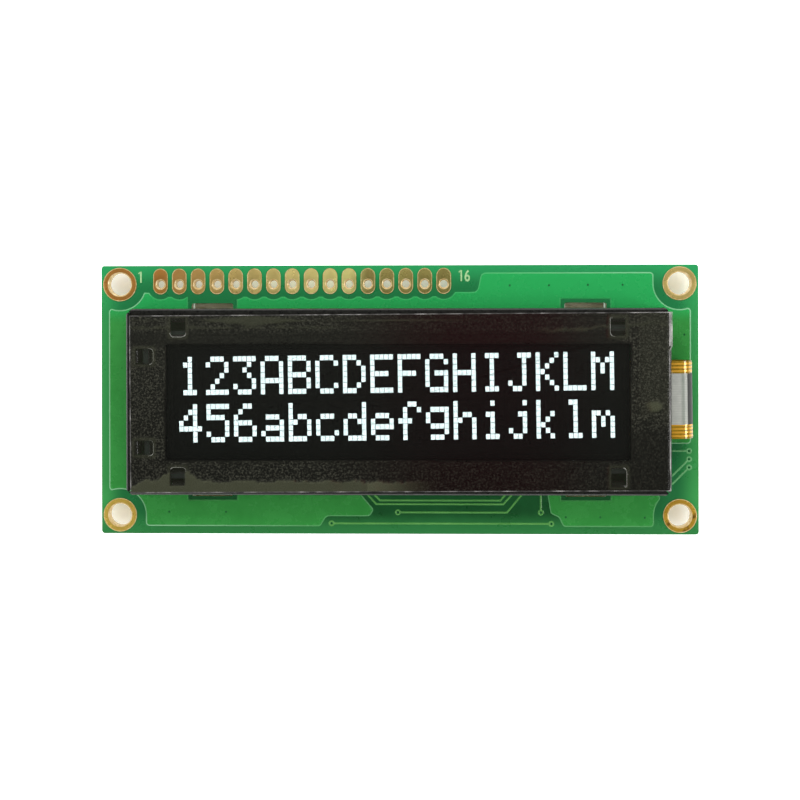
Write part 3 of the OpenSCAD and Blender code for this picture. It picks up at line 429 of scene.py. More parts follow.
# Places in millimetres of the vias in the copper field, and of those at the ends of tracks.
FIELD_VIAS = ((14.92, 15.27), (20.15, 15.27), (25.33, 15.31), (29.94, 15.31), (38.11, 8.65),
              (-30.87, -15.07), (-23.21, -15.08), (22.32, -15.71), (26.92, -15.71), (32.82, -15.74))
TRACK_VIAS = ((-9, -16.6), (20.4, -16.6), (-0.1, -15.1), (19, -15.1), (38.7, -6.85), (38.7, -7.95),
              (38.7, -9.05))
# Lacquer that fills a hole is thick, so it looks dark and glossy.
sunk_lacquer = mottled("lacquer sunk in a via", dark="#105028", light="#185C30", patch=1 * MM,
                       roughness=0.25)[0]


def spread(pattern, name, places):
    """One piece of copies of a pattern, each at a place in metres and turned about the upright axis."""
    bpy.ops.object.select_all(action="DESELECT")
    for place, turn in places:
        copy = bpy.data.objects.new(name, pattern.data.copy())
        bpy.context.scene.collection.objects.link(copy)
        copy.location = place
        copy.rotation_euler.z = turn
        copy.select_set(True)
    bpy.data.objects.remove(pattern)
    bpy.context.view_layer.objects.active = copy
    bpy.ops.object.join()
    bpy.ops.object.transform_apply(location=True, rotation=True, scale=True)
    piece = bpy.context.object
    piece.name = name
    return piece


bpy.ops.object.select_all(action="DESELECT")
bpy.ops.mesh.primitive_cylinder_add(vertices=VIA_SIDES, radius=VIA_RADIUS, depth=2 * VIA_RISE,
                                    location=(0, 0, 0))
dimple = bpy.context.object
pick(dimple, "FACE", lambda face, corners: face.normal.z > FLAT)
bpy.ops.mesh.inset(thickness=VIA_RADIUS / 3, depth=-VIA_RISE / 2)
bpy.ops.object.mode_set(mode="OBJECT")
places = [((x * MM, y * MM, FIELD_FRONT), 0) for x, y in FIELD_VIAS]
places += [((x * MM, y * MM, BOARD_FRONT), 0) for x, y in TRACK_VIAS]
stitching_vias = spread(dimple, "stitching_vias", places)
keep(stitching_vias, sunk_lacquer, "solder_mask")

# Bezel
# One blank of sheet steel with punched lugs, folded into four walls and tabs that lie in the board's slots.
# It is sprayed satin black, with painted glints at the lugs' punched edges, and the paint has flaked off the
# tinned tabs.
ENAMEL_DARK = "#040404"
ENAMEL_LIGHT = "#1E1E1A"
# The sprayed grain is too fine to show, so it is drawn coarser.
ENAMEL_GRAIN = 0.4 * MM
BARE_STEEL = "#DEDBC6"
PAINT_END = 1.7 * MM
PUNCHED_ROUND = 0.1 * MM
PUNCHED_STEPS = 2
BEZEL_FACE = 6.6 * MM
FACE_INSIDE = (34.9 * MM, 11.4 * MM)
WINDOW_HALF = (30.5 * MM, 7.7 * MM)
# Each lug hole in millimetres: its middle, its half size and the way the side with its painted glint looks.
LUG_HOLES = ((-28.8, 9.8, 1, 1.2, 0, -1), (28.8, 9.8, 1, 1.2, -1, 0), (-28.8, -9.8, 1, 1.2, 0.5, 1),
             (28.8, -9.8, 1, 1.2, 1, 0), (-33.3, 6, 1.2, 1, 1, 0), (-33.3, -6, 1.2, 1, 1, 0))
GLINT_FROM = 0.5
# Satin enamel: nearly black, with a soft sheen that stays smooth over the bends, and pale steel below it.
enamel, tree, shader, place, tint = mottled("satin black enamel on steel", ENAMEL_DARK, ENAMEL_LIGHT,
                                            ENAMEL_GRAIN, roughness=0.3, relief=0.006 * MM,
                                            sockets={"Specular IOR Level": 0.3})
height = add_node(tree, "SeparateXYZ", {}, {"Vector": place})
height = add_node(tree, "Math", {1: PAINT_END}, {0: height.outputs["Z"]}, operation="GREATER_THAN")
coat = add_node(tree, "Mix", {6: linear(BARE_STEEL)}, {0: height, 7: tint}, data_type="RGBA")
tree.links.new(coat.outputs[2], shader.inputs["Base Color"])
# On the punched edges at the lugs, painted glints show in spots of grey and white.
edge_glint = mottled("painted glint on a punched edge", dark="#70706A", light="#F4F4EC", patch=1.1 * MM,
                    roughness=0.3)[0]
painted = copy_of("bezel", "painted_bezel")
painted.data.materials.append(edge_glint)
pick(painted, "FACE", lambda face, corners: face.normal.z > LEVEL and face.center.z > BEZEL_FACE)
bpy.ops.mesh.region_to_loop()
bpy.ops.object.mode_set(mode="OBJECT")
for edge in painted.data.edges:
    ends = [painted.data.vertices[v].co for v in edge.vertices]
    far_x = max(abs(end.x) for end in ends)
    far_y = max(abs(end.y) for end in ends)
    outside = far_x > FACE_INSIDE[0] or far_y > FACE_INSIDE[1]
    window = far_x < WINDOW_HALF[0] and far_y < WINDOW_HALF[1]
    if outside or window:
        edge.select = False
bpy.ops.object.mode_set(mode="EDIT")
bpy.ops.mesh.select_mode(type="EDGE")
bpy.ops.mesh.bevel(offset=PUNCHED_ROUND, segments=PUNCHED_STEPS, affect="EDGES", material=1)
bpy.ops.object.mode_set(mode="OBJECT")
bpy.ops.object.shade_smooth_by_angle(angle=SMOOTH_ANGLE)
# Only the side of each lug hole that looks its way keeps the painted glint.
for face in painted.data.polygons:
    x, y = face.center.x / MM, face.center.y / MM
    lug_x, lug_y, half_x, half_y, look_x, look_y = min(
        LUG_HOLES, key=lambda hole: math.hypot(x - hole[0], y - hole[1]))
    if (x - lug_x) * look_x + (y - lug_y) * look_y < GLINT_FROM:
        face.material_index = 0
keep(painted, enamel, "black_paint", "bezel")

# Foam strips
# Two strips of closed-cell foam, cut from sheet with glue on its back.
# They are stuck on the board along the bezel's long sides and carry the glass.

# Cut cells swallow light, so the foam is charcoal, quite matt and finely pitted.
foam = mottled("closed-cell foam", dark="#1A1C1E", light="#2A2D30", patch=0.25 * MM, roughness=0.9,
               relief=0.05 * MM)[0]
dress(foam, "foam_strips")

# Cap glass, drying sheet and seal
# The cap glass is etched out behind the cells and holds a pressed sheet that keeps them dry.
# It is glued to the front glass by a thin line all round, cured by light.

# Pressed powder is chalky white and matt.
drying = mottled("pressed drying sheet", dark="#D8D5C8", light="#E8E6DC", patch=0.5 * MM, roughness=0.85,
                 relief=0.01 * MM)[0]
dress(drying, "desiccant_sheet")
# Cured glue is a dark line with a weak gloss.
seal = mottled("cured edge glue", dark="#262620", light="#32322A", patch=0.6 * MM, roughness=0.45)[0]
dress(seal, "edge_seal")
# Polished glass is clear with a trace of green, and shows by its reflections.
glass = mottled("polished soda-lime glass", dark="#B8C8C2", light="#C6D4CE", patch=20 * MM, roughness=0.05,
                sockets={"Alpha": 0.05})[0]
dress(glass, "front_glass", "rear_glass")

# Light-emitting layer
# The dots are organic layers laid down on the front glass, five by eight for each character.
# A lit dot glows and the others stay dark, and a black cathode film covers them all from behind.
PANEL_TURN = math.radians(0.7)
CELLS_RISE = 0.2 * MM
CELLS_SHIFT = -0.23 * MM
CELL_PITCH = 3.62 * MM
LINE_PITCH = 6.25 * MM
DOT_PITCH_X = 0.61 * MM
DOT_PITCH_Y = 0.73 * MM
DOT_GAP = 0.065 * MM
DOT_CORNER = 0.02 * MM
CELL_FRONT = 5.34 * MM
CELL_BACK = 5.31 * MM
CATHODE_SIZE = (60 * MM, 14.7 * MM, 0.008 * MM)
CATHODE_LEVEL = 5.302 * MM
CATHODE_CORNER = 0.2 * MM
CATHODE_STEPS = 3
COLUMNS = 5
ROWS = 8
CHARACTERS = 16
LINES = ("123ABCDEFGHIJKLM", "456abcdefghijklm")
# Each figure is a few straight strokes of dots: first column, first row, last column, last row.
STROKES = {
    "1": ((1, 1, 1, 1), (2, 0, 2, 6), (1, 6, 3, 6)),
    "2": ((1, 0, 3, 0), (0, 1, 0, 1), (4, 1, 4, 2), (3, 3, 1, 5), (0, 6, 4, 6)),
    "3": ((0, 0, 4, 0), (3, 1, 2, 2), (3, 3, 3, 3), (4, 4, 4, 5), (0, 5, 0, 5), (1, 6, 3, 6)),
    "4": ((3, 0, 3, 6), (2, 1, 0, 3), (0, 4, 4, 4)),
    "5": ((0, 0, 4, 0), (0, 1, 0, 2), (1, 2, 3, 2), (4, 3, 4, 5), (0, 5, 0, 5), (1, 6, 3, 6)),
    "6": ((2, 0, 3, 0), (1, 1, 1, 1), (0, 2, 0, 5), (1, 3, 3, 3), (4, 4, 4, 5), (1, 6, 3, 6)),
    "A": ((1, 0, 3, 0), (0, 1, 0, 6), (4, 1, 4, 6), (1, 4, 3, 4)),
    "B": ((0, 0, 0, 6), (1, 0, 3, 0), (1, 3, 3, 3), (1, 6, 3, 6), (4, 1, 4, 2), (4, 4, 4, 5)),
    "C": ((1, 0, 3, 0), (0, 1, 0, 5), (4, 1, 4, 1), (4, 5, 4, 5), (1, 6, 3, 6)),
    "D": ((0, 0, 0, 6), (1, 0, 2, 0), (3, 1, 3, 1), (4, 2, 4, 4), (3, 5, 3, 5), (1, 6, 2, 6)),
    "E": ((0, 0, 0, 6), (1, 0, 4, 0), (1, 3, 3, 3), (1, 6, 4, 6)),
    "F": ((0, 0, 0, 6), (1, 0, 4, 0), (1, 3, 3, 3)),
    "G": ((1, 0, 3, 0), (0, 1, 0, 5), (4, 1, 4, 1), (2, 3, 4, 3), (4, 4, 4, 6), (1, 6, 3, 6)),
    "H": ((0, 0, 0, 6), (4, 0, 4, 6), (1, 3, 3, 3)),
    "I": ((1, 0, 3, 0), (2, 1, 2, 5), (1, 6, 3, 6)),
    "J": ((2, 0, 4, 0), (3, 1, 3, 5), (0, 5, 0, 5), (1, 6, 2, 6)),
    "K": ((0, 0, 0, 6), (4, 0, 1, 3), (2, 4, 4, 6)),
    "L": ((0, 0, 0, 6), (1, 6, 4, 6)),
    "M": ((0, 0, 0, 6), (4, 0, 4, 6), (1, 1, 1, 1), (3, 1, 3, 1), (2, 2, 2, 3)),
    "a": ((1, 2, 3, 2), (4, 3, 4, 6), (1, 4, 3, 4), (0, 5, 0, 5), (1, 6, 3, 6)),
    "b": ((0, 0, 0, 6), (2, 2, 3, 2), (1, 3, 1, 3), (4, 3, 4, 5), (1, 6, 3, 6)),
    "c": ((1, 2, 3, 2), (0, 3, 0, 5), (4, 5, 4, 5), (1, 6, 3, 6)),
    "d": ((4, 0, 4, 6), (1, 2, 2, 2), (3, 3, 3, 3), (0, 3, 0, 5), (1, 6, 3, 6)),
    "e": ((1, 2, 3, 2), (0, 3, 0, 5), (4, 3, 4, 3), (1, 4, 4, 4), (1, 6, 3, 6)),
    "f": ((2, 0, 3, 0), (4, 1, 4, 1), (1, 1, 1, 6), (0, 3, 2, 3)),
    "g": ((1, 1, 4, 1), (0, 2, 0, 3), (4, 2, 4, 5), (1, 4, 3, 4), (1, 6, 3, 6)),
    "h": ((0, 0, 0, 6), (2, 2, 3, 2), (1, 3, 1, 3), (4, 3, 4, 6)),
    "i": ((2, 0, 2, 0), (1, 2, 2, 2), (2, 3, 2, 5), (1, 6, 3, 6)),
    "j": ((3, 0, 3, 0), (2, 2, 3, 2), (3, 3, 3, 5), (0, 5, 0, 5), (1, 6, 2, 6)),
    "k": ((0, 0, 0, 6), (3, 2, 1, 4), (2, 5, 3, 6)),
    "l": ((1, 0, 2, 0), (2, 1, 2, 5), (1, 6, 3, 6)),
    "m": ((0, 2, 0, 6), (1, 2, 1, 2), (3, 2, 3, 2), (2, 3, 2, 4), (4, 3, 4, 6))}


def lit_dots():
    """Every lit dot as a column and a row of the whole display, the row counted downwards from the top."""
    dots = set()
    for line, letters in enumerate(LINES):
        for position, letter in enumerate(letters):
            for start_x, start_y, end_x, end_y in STROKES[letter]:
                steps = max(abs(end_x - start_x), abs(end_y - start_y))
                for step in range(steps + 1):
                    part = step / max(steps, 1)
                    column = round(start_x + (end_x - start_x) * part)
                    row = round(start_y + (end_y - start_y) * part)
                    dots.add((position * COLUMNS + column, line * ROWS + row))
    return dots


def block(name, size, middle):
    """New block of a size at a place, which the next steps shape."""
    bpy.ops.object.select_all(action="DESELECT")
    bpy.ops.mesh.primitive_cube_add(size=1, enter_editmode=True, location=(0, 0, 0))
    bpy.ops.transform.resize(value=size)
    bpy.ops.transform.translate(value=middle)
    bpy.ops.object.mode_set(mode="OBJECT")
    bpy.context.object.name = name
    return bpy.context.object


dots = lit_dots()
half_cell_x = (COLUMNS - 1) / 2 * DOT_PITCH_X
half_cell_y = (ROWS - 1) / 2 * DOT_PITCH_Y
first_x = CELLS_SHIFT - (CHARACTERS - 1) / 2 * CELL_PITCH - half_cell_x
first_y = LINE_PITCH / 2 + CELLS_RISE + half_cell_y
dot_depth = CELL_FRONT - CELL_BACK
unlit = block("unlit_dots", (DOT_PITCH_X - DOT_GAP, DOT_PITCH_Y - DOT_GAP, dot_depth),
              (first_x, first_y, (CELL_FRONT + CELL_BACK) / 2))
pick(unlit, "EDGE", lambda edge, ends: abs(ends[0].z - ends[1].z) > dot_depth / 2)
bpy.ops.mesh.bevel(offset=DOT_CORNER, segments=1, affect="EDGES")
bpy.ops.object.mode_set(mode="OBJECT")
for count, step in ((COLUMNS, (DOT_PITCH_X, 0, 0)), (ROWS, (0, -DOT_PITCH_Y, 0)),
                    (CHARACTERS, (CELL_PITCH, 0, 0)), (len(LINES), (0, -LINE_PITCH, 0))):
    array = unlit.modifiers.new("repeat", "ARRAY")
    array.count = count
    array.use_relative_offset = False
    array.use_constant_offset = True
    array.constant_offset_displace = step
    bpy.ops.object.modifier_apply(modifier=array.name)


def is_lit(face, corners):
    """Whether a face belongs to a lit dot, from its place in the grid."""
    character = round((face.center.x - first_x - half_cell_x) / CELL_PITCH)
    line = round((first_y - half_cell_y - face.center.y) / LINE_PITCH)
    column = round((face.center.x - first_x - character * CELL_PITCH) / DOT_PITCH_X)
    row = round((first_y - line * LINE_PITCH - face.center.y) / DOT_PITCH_Y)
    return (character * COLUMNS + column, line * ROWS + row) in dots


pick(unlit, "FACE", is_lit)
bpy.ops.mesh.separate(type="SELECTED")
bpy.ops.object.mode_set(mode="OBJECT")
lit = [piece for piece in bpy.context.selected_objects if piece != unlit][0]
lit.name = "lit_dots"
# A lit emitter is an even bluish white that shines by itself.
emitter, tree, shader, place, tint = mottled("lit organic emitter", dark="#E2F8F8", light="#ECFFFF",
                                             patch=3 * MM, roughness=0.4,
                                             sockets={"Emission Strength": 3.6})
tree.links.new(tint, shader.inputs["Emission Color"])
# An unlit emitter is nearly as black as what lies behind it.
dark_emitter = mottled("unlit organic emitter", dark="#0A0B0A", light="#111210", patch=1 * MM,
                       roughness=0.3)[0]
cathode = block("cathode_film", CATHODE_SIZE, (0, 0, CATHODE_LEVEL))
pick(cathode, "EDGE", lambda edge, ends: abs(ends[0].z - ends[1].z) > CATHODE_SIZE[2] / 2)
bpy.ops.mesh.bevel(offset=CATHODE_CORNER, segments=CATHODE_STEPS, affect="EDGES")
bpy.ops.object.mode_set(mode="OBJECT")
# The blackened cathode is an even black ground behind the dots.
cathode_black = mottled("black cathode film", dark="#070707", light="#0D0D0C", patch=2 * MM,
                        roughness=0.35)[0]
for piece in (unlit, lit, cathode):
    bpy.ops.object.select_all(action="DESELECT")
    piece.select_set(True)
    bpy.context.view_layer.objects.active = piece
    piece.rotation_euler.z = PANEL_TURN
    bpy.ops.object.transform_apply(location=True, rotation=True, scale=True)
keep(lit, emitter, "emitter", "character_cells")
keep(unlit, dark_emitter, "polarizer_film")
keep(cathode, cathode_black, "polarizer_film")

# Polarizer
# A circular polarizer, a stack of dyed plastic films, is laminated on the front glass with clear glue.
# It swallows the room's reflections from the layers below and lets the light of the dots through.

# Dyed film is a neutral, smooth and half clear black.
polarizer = mottled("circular polarizer film", dark="#0B0B0A", light="#11110F", patch=6 * MM, roughness=0.16,
                    sockets={"Alpha": 0.42, "Specular IOR Level": 0.2})[0]
dress(polarizer, "polarizer")

# Flexible circuit
# Amber polyimide film carries etched and tinned copper leads on its outside.
# It is bonded to the glass, folds down round the panel's end and is soldered to lands on the board.
BETWEEN_LEADS = "#B0B2AA"
# The leads in the middle are too fine to show, so their pitch is drawn coarser.
FINE_PITCH = 0.22 * MM
FINE_HALF = 3.45 * MM
FINE_MIDDLE = 0.4 * MM
BROAD_LEADS = "#DCA436"
LEADS_GLOSS = {"To Min": 0.55, "To Max": 0.08}
# Painted light and shade over the bend, from where the film turns down to where it lies level.
# It is a dark reflection, then a pale highlight band, then a duller band, then full tone.
BEND_LIGHT_AND_SHADE = ((0.84, "#484A48"), (0.87, "#E8E9E8"), (0.94, "#E8E9E8"), (0.965, "#C2C8C4"), (0.99, "#C8CDC9"),
              (0.999, "#FFFFFF"))
# Polyimide is a clear amber brown with a sharp gloss.
polyimide = mottled("amber polyimide film", dark="#7C6210", light="#A28222", patch=1.5 * MM,
                    roughness=0.06)[0]
dress(polyimide, "flex_film")
# A field of fine tinned leads looks silver grey and matt, and the broad leads beside it look amber.
tinned, tree, shader, place, tint = mottled("tinned fine leads", dark="#B2B5AE", light="#CDCFC6",
                                            patch=1.2 * MM, roughness=0.55, sockets={"Metallic": 0.25})
lines = add_node(tree, "TexWave", {"Scale": WAVE / FINE_PITCH}, {"Vector": place}, bands_direction="Y")
silver = add_node(tree, "Mix", {6: linear(BETWEEN_LEADS)}, {0: lines.outputs["Fac"], 7: tint},
                  data_type="RGBA")
facing = add_node(tree, "SeparateXYZ", {}, {"Vector": place.node.outputs["Normal"]})
# The leads' tone is multiplied by the painted light and shade of the bend.
painted_bend = add_node(tree, "ValToRGB", {}, {"Fac": facing.outputs["Z"]}, stops=BEND_LIGHT_AND_SHADE)
silver = add_node(tree, "Mix", {0: 1.0}, {6: silver, 7: painted_bend}, data_type="RGBA", blend_type="MULTIPLY")
beside = add_node(tree, "SeparateXYZ", {}, {"Vector": place})
beside = add_node(tree, "Math", {1: FINE_MIDDLE}, {0: beside.outputs["Y"]}, operation="SUBTRACT")
beside = add_node(tree, "Math", {}, {0: beside}, operation="ABSOLUTE")
beside = add_node(tree, "Math", {1: FINE_HALF}, {0: beside}, operation="GREATER_THAN")
leads = add_node(tree, "Mix", {7: linear(BROAD_LEADS)}, {0: beside, 6: silver}, data_type="RGBA")
tree.links.new(leads.outputs[2], shader.inputs["Base Color"])
gloss = add_node(tree, "MapRange", LEADS_GLOSS, {"Value": beside})
tree.links.new(gloss.outputs["Result"], shader.inputs["Roughness"])
dress(tinned, "flex_leads")
# Bare silicon is a dark bluish grey with a polished face.
silicon = mottled("bare silicon", dark="#2A2A30", light="#3A3A42", patch=0.8 * MM, roughness=0.2)[0]
dress(silicon, "driver_chip")

# Tin on lands, leads and end caps
# The lands of the flexible circuit, the leads of the packages and the chips' end caps are copper or nickel.
# All are plated with tin, so that solder wets them.

# Matt tin is a pale grey metal with a fine crystalline grain.
tin = mottled("matt tin plating", dark="#A9ABA6", light="#C9CBC5", patch=0.15 * MM, roughness=0.35,
              relief=0.004 * MM, sockets={"Metallic": 1.0})[0]
dress(tin, "flex_lands", "inductor_terminals", "diode_leads", "converter_leads", "resistor_caps",
      "capacitor_caps")

# Rear components
# A ferrite inductor, a converter and a diode in moulded packages, glazed resistors and ceramic capacitors.
# A machine sets them in solder paste on the rear of the board, and an oven solders them all at once.

# Sintered ferrite is a rough and matt dark grey.
ferrite = mottled("sintered ferrite", dark="#2B2B2D", light="#3B3B3E", patch=0.3 * MM, roughness=0.6,
                  relief=0.02 * MM)[0]
dress(ferrite, "power_inductor")
# Moulded epoxy is black with the fine matt texture of its mould.
moulding = mottled("epoxy moulding compound", dark="#131314", light="#1E1E1F", patch=0.12 * MM,
                   roughness=0.55, relief=0.01 * MM)[0]
dress(moulding, "rectifier_diode", "converter_chip")
# Fired glaze is black and glossy.
glaze = mottled("resistor glaze", dark="#121214", light="#1B1B1E", patch=0.4 * MM, roughness=0.2)[0]
dress(glaze, "resistor_bodies")
# Sintered capacitor ceramic is tan with a weak gloss.
ceramic = mottled("sintered capacitor ceramic", dark="#8A6A48", light="#A5825C", patch=0.3 * MM,
                  roughness=0.5, relief=0.006 * MM)[0]
dress(ceramic, "capacitor_bodies")

# Solder on the rear
# The paste printed on the rear pads has melted, wetted them all over and set.
# It has drawn up every chip's end caps as a hollow fillet that runs out to the pad's edge.
PAD_LEVEL = -0.04 * MM
PAD_SHOWS = 0.25 * MM
SOLDER_CLIMB = 0.75
HOLLOW_SHARE = 92
HOLLOW_STEPS = 5
HOLLOW_SHAPE = 0.12
CHIP_PITCH = 2.4
# Each kind of chip in millimetres: its length, width and height, and each one's X, Y and turn in degrees.
CHIPS = (("resistor", 1.6, 0.8, 0.45, [(-3 + CHIP_PITCH * i, -2.5, 90) for i in range(6)]
          + [(-6, 3.6, 0), (-10.5, 3.6, 0)]),
         ("capacitor", 1.6, 0.8, 0.8, [(12.6 + CHIP_PITCH * i, -2.5, 90) for i in range(4)]),
         ("reservoir", 2.0, 1.25, 1.0, [(-10.5, -7.2, 0), (24.5, -6, 0), (24.5, 2.6, 0)]))
# Solder that has flowed is a bright silver with a faint grain.
solder = mottled("reflowed solder", dark="#A4A6A2", light="#D2D4CE", patch=0.3 * MM, roughness=0.2,
                 relief=0.004 * MM, sockets={"Metallic": 1.0})[0]
dress(solder, "rear_pads")
for kind, length, width, height, chips in CHIPS:
    climb = SOLDER_CLIMB * height * MM
    middle_x = (length * MM + PAD_SHOWS) / 2
    middle_z = PAD_LEVEL - climb / 2
    fillet = block("fillet", (PAD_SHOWS, width * MM, climb), (middle_x, 0, middle_z))
    pick(fillet, "EDGE", lambda edge, ends: all(end.x > middle_x and end.z < middle_z for end in ends))
    bpy.ops.mesh.bevel(offset_type="PERCENT", offset_pct=HOLLOW_SHARE, segments=HOLLOW_STEPS,
                       profile=HOLLOW_SHAPE, affect="EDGES")
    bpy.ops.object.mode_set(mode="OBJECT")
    bpy.ops.object.shade_smooth_by_angle(angle=SMOOTH_ANGLE)
    places = [((x * MM, y * MM, 0), math.radians(turn + half)) for x, y, turn in chips for half in (0, 180)]
    keep(spread(fillet, kind + "_fillets", places), solder, "tin")

# Protective film
# A clear plastic film with weak glue is still stuck on the bezel's face, askew and long at the right.
# It clings where it is dark, and has come loose in smooth patches along the sides and round the lugs, which
# carry a painted grey reflection.
FILM_BACK = 6.645 * MM
FILM_THICKNESS = 0.03 * MM
FILM_LENGTH = 71 * MM
FILM_DEPTH = 23.3 * MM
FILM_MIDDLE = (0.35 * MM, -0.1 * MM)
FILM_TURN = math.radians(0.3)
FILM_RIM = 0.12 * MM
FILM_GRID = (320, 110)
# The part of the right end that hangs over the bezel, in millimetres, and how far the rest falls short.
HANG_FROM = (35.3, 7)
HANG_START = (6.4, 7.2)
FILM_END = (34, 35.8)
FILM_OVERHANG = 0.35 * MM
LOOSE_RISE = 0.06 * MM
LOOSE_WAVE = 2.4 * MM
# The speckles of the glue are too fine to show, so they are drawn coarser.
GLUE_GRAIN = 0.24 * MM
GLUE_SPECKS = {"From Min": 0.48, "From Max": 0.72}
GLUE_DARK = "#070706"
GLUE_LIGHT = "#626255"
# Where the film is loose its grey veil is a painted reflection.
LOOSE_GREY = "#595C47"
# How much the film covers: everywhere, where its glue clings as well, and where it is loose as well.
COVER_ALL = 0.12
COVER_GLUE = 0.2
COVER_LOOSE = 0.2
CUT_BREAK = 1.5 * MM
CUT_COVER = {"From Min": 0.46, "From Max": 0.75, "To Min": 0.09, "To Max": 0.34}
OVER_END = {"From Min": 35.1 * MM, "From Max": 35.3 * MM, "To Max": 0.3}
# Where the film is loose, in millimetres, and how loose: along the lower side, more round its left lug.
LOWER_LINE = -10.3
LOWER_LUG = -28.8
# Loose places with the painted grey reflection: a lens and a streak above the window, a sweep at its right,
# the right corner and a sheen patch.
LENS_PLACE = (-19, 10.7)
LENS_LOOSE = 0.45
STREAK_LINE = 9.75
STREAK_LOOSE = 0.35
SWEEP_START = (20, 9.4)
SWEEP_LOOSE = 0.4
CORNER_LOOSE = 0.14
SHEEN_PATCH_PLACE = (33.3, -0.5)
SHEEN_PATCH_SIZE = (1.3, 0.9)
SHEEN_PATCH_LOOSE = 0.85
# A loose halo round each lug hole, with its painted grey reflection, and the film over the hole itself.
LUG_HALO = (0.1, 0.6)
HALO_LOOSE = 0.35
OVER_LUG = 0.2


def rise(value, low, high):
    """Smooth step from 0 below the low value to 1 above the high one."""
    part = min(max((value - low) / (high - low), 0), 1)
    return part * part * (3 - 2 * part)


def looseness(x, y):
    """How far the film is from clinging at a place in millimetres, from 0 to 1."""
    ripple = 0.35 * noise.noise((x * 0.5, y * 0.5, 0)) + 0.2 * noise.noise((x * 2, y * 2, 5))
    lower_edge = LOWER_LINE + 1.2 * rise(-abs(x - LOWER_LUG), -3.5, -1) - 0.8 * rise(-x, 33, 35.5) + ripple
    lower = rise(lower_edge - y, 0, 0.15) * rise(-x, -6, 4)
    lens_half = 0.55 * rise(-abs(x - LENS_PLACE[0]), -8, 0)
    lens = LENS_LOOSE * rise(lens_half - abs(y - LENS_PLACE[1]), -0.08, 0.02)
    streak_half = 0.22 + ripple * 0.6
    streak = STREAK_LOOSE * rise(streak_half - abs(y - STREAK_LINE - 0.5 * ripple), 0, 0.2) * rise(-x, 4, 12)
    sweep_line = SWEEP_START[1] + 0.06 * (x - SWEEP_START[0]) + ripple
    sweep = SWEEP_LOOSE * rise(0.3 - abs(y - sweep_line), 0, 0.3) * rise(x, 17, 22)
    corner = CORNER_LOOSE * rise(x, 31, 32) * rise(y + ripple * 4, -4, 0)
    away = math.hypot((x - SHEEN_PATCH_PLACE[0]) / SHEEN_PATCH_SIZE[0], (y - SHEEN_PATCH_PLACE[1]) / SHEEN_PATCH_SIZE[1])
    sheen_patch = SHEEN_PATCH_LOOSE * (1 - rise(away + ripple, 0.5, 1.1))
    halo = 0
    for lug_x, lug_y, half_x, half_y, *_ in LUG_HOLES:
        apart = math.hypot(max(abs(x - lug_x) - half_x, 0), max(abs(y - lug_y) - half_y, 0))
        if apart == 0:
            return OVER_LUG
        halo = max(halo, HALO_LOOSE * (1 - rise(apart, *LUG_HALO)))
    return max(lower, lens, streak, sweep, corner, sheen_patch, halo)


def clinging(x, y):
    """How closely the film clings at a place in millimetres, which shows as fine speckles in its glue."""
    over_window = abs(x) < WINDOW_HALF[0] / MM and abs(y) < WINDOW_HALF[1] / MM
    over_lug = any(abs(x - lug[0]) < lug[2] and abs(y - lug[1]) < lug[3] for lug in LUG_HOLES)
    if over_window or over_lug:
        return 0
    fewer_at_right = 1 - 0.6 * rise(x, -12, 2)
    # More specks at the right end lighten it, a painted sheen.
    specks_and_sheen_at_end = 0.75 * rise(x, 28.5, 31) * rise(y, -5, -2)
    fewer_above_window = 1 - 0.7 * rise(y, 7, 7.5) * rise(-y, -9.6, -8.8) * rise(-x, -30, -26)
    return (fewer_at_right + specks_and_sheen_at_end) * fewer_above_window * (1 - looseness(x, y))


bpy.ops.object.select_all(action="DESELECT")
bpy.ops.mesh.primitive_grid_add(x_subdivisions=FILM_GRID[0], y_subdivisions=FILM_GRID[1], size=1,
                                enter_editmode=True, location=(0, 0, 0))
bpy.ops.transform.resize(value=(FILM_LENGTH, FILM_DEPTH, 1))
bpy.ops.transform.translate(value=(*FILM_MIDDLE, FILM_BACK))
bpy.ops.mesh.select_all(action="SELECT")
bpy.ops.mesh.inset(thickness=FILM_RIM)
bpy.ops.object.mode_set(mode="OBJECT")
film = bpy.context.object
film.name = "protective_film"
for face in film.data.polygons:
    hangs = face.center.x > HANG_FROM[0] * MM and face.center.y > HANG_FROM[1] * MM
    face.material_index = 0 if face.select and not hangs else 1
for vertex in film.data.vertices:
    short = FILM_OVERHANG * (1 - rise(vertex.co.y / MM, *HANG_START)) * rise(vertex.co.x / MM, *FILM_END)
    vertex.co.x -= short
film.rotation_euler.z = FILM_TURN
bpy.ops.object.transform_apply(location=True, rotation=True, scale=True)
amounts = [looseness(vertex.co.x / MM, vertex.co.y / MM) for vertex in film.data.vertices]
lifted = film.vertex_groups.new(name="lifted")
for index, amount in enumerate(amounts):
    lifted.add([index], amount, "REPLACE")
speckles = [clinging(vertex.co.x / MM, vertex.co.y / MM) for vertex in film.data.vertices]
covers = [COVER_ALL + (COVER_GLUE if speckle > 0 else 0) + COVER_LOOSE * amount
          for speckle, amount in zip(speckles, amounts)]
for name, values in (("loose", amounts), ("clings", speckles), ("covers", covers)):
    film.data.attributes.new(name, "FLOAT", "POINT").data.foreach_set("value", values)
waves = bpy.data.textures.new("film_waves", "CLOUDS")
waves.noise_scale = LOOSE_WAVE
waves.noise_depth = 1
swell = film.modifiers.new("swell", "DISPLACE")
swell.texture = waves
swell.texture_coords = "LOCAL"
swell.direction = "Z"
swell.mid_level = 0
swell.strength = LOOSE_RISE
swell.vertex_group = "lifted"
bpy.ops.object.modifier_apply(modifier=swell.name)
wall = film.modifiers.new("wall", "SOLIDIFY")
wall.thickness = FILM_THICKNESS
wall.offset = 1
bpy.ops.object.modifier_apply(modifier=wall.name)
bpy.ops.object.shade_smooth_by_angle(angle=SMOOTH_ANGLE)
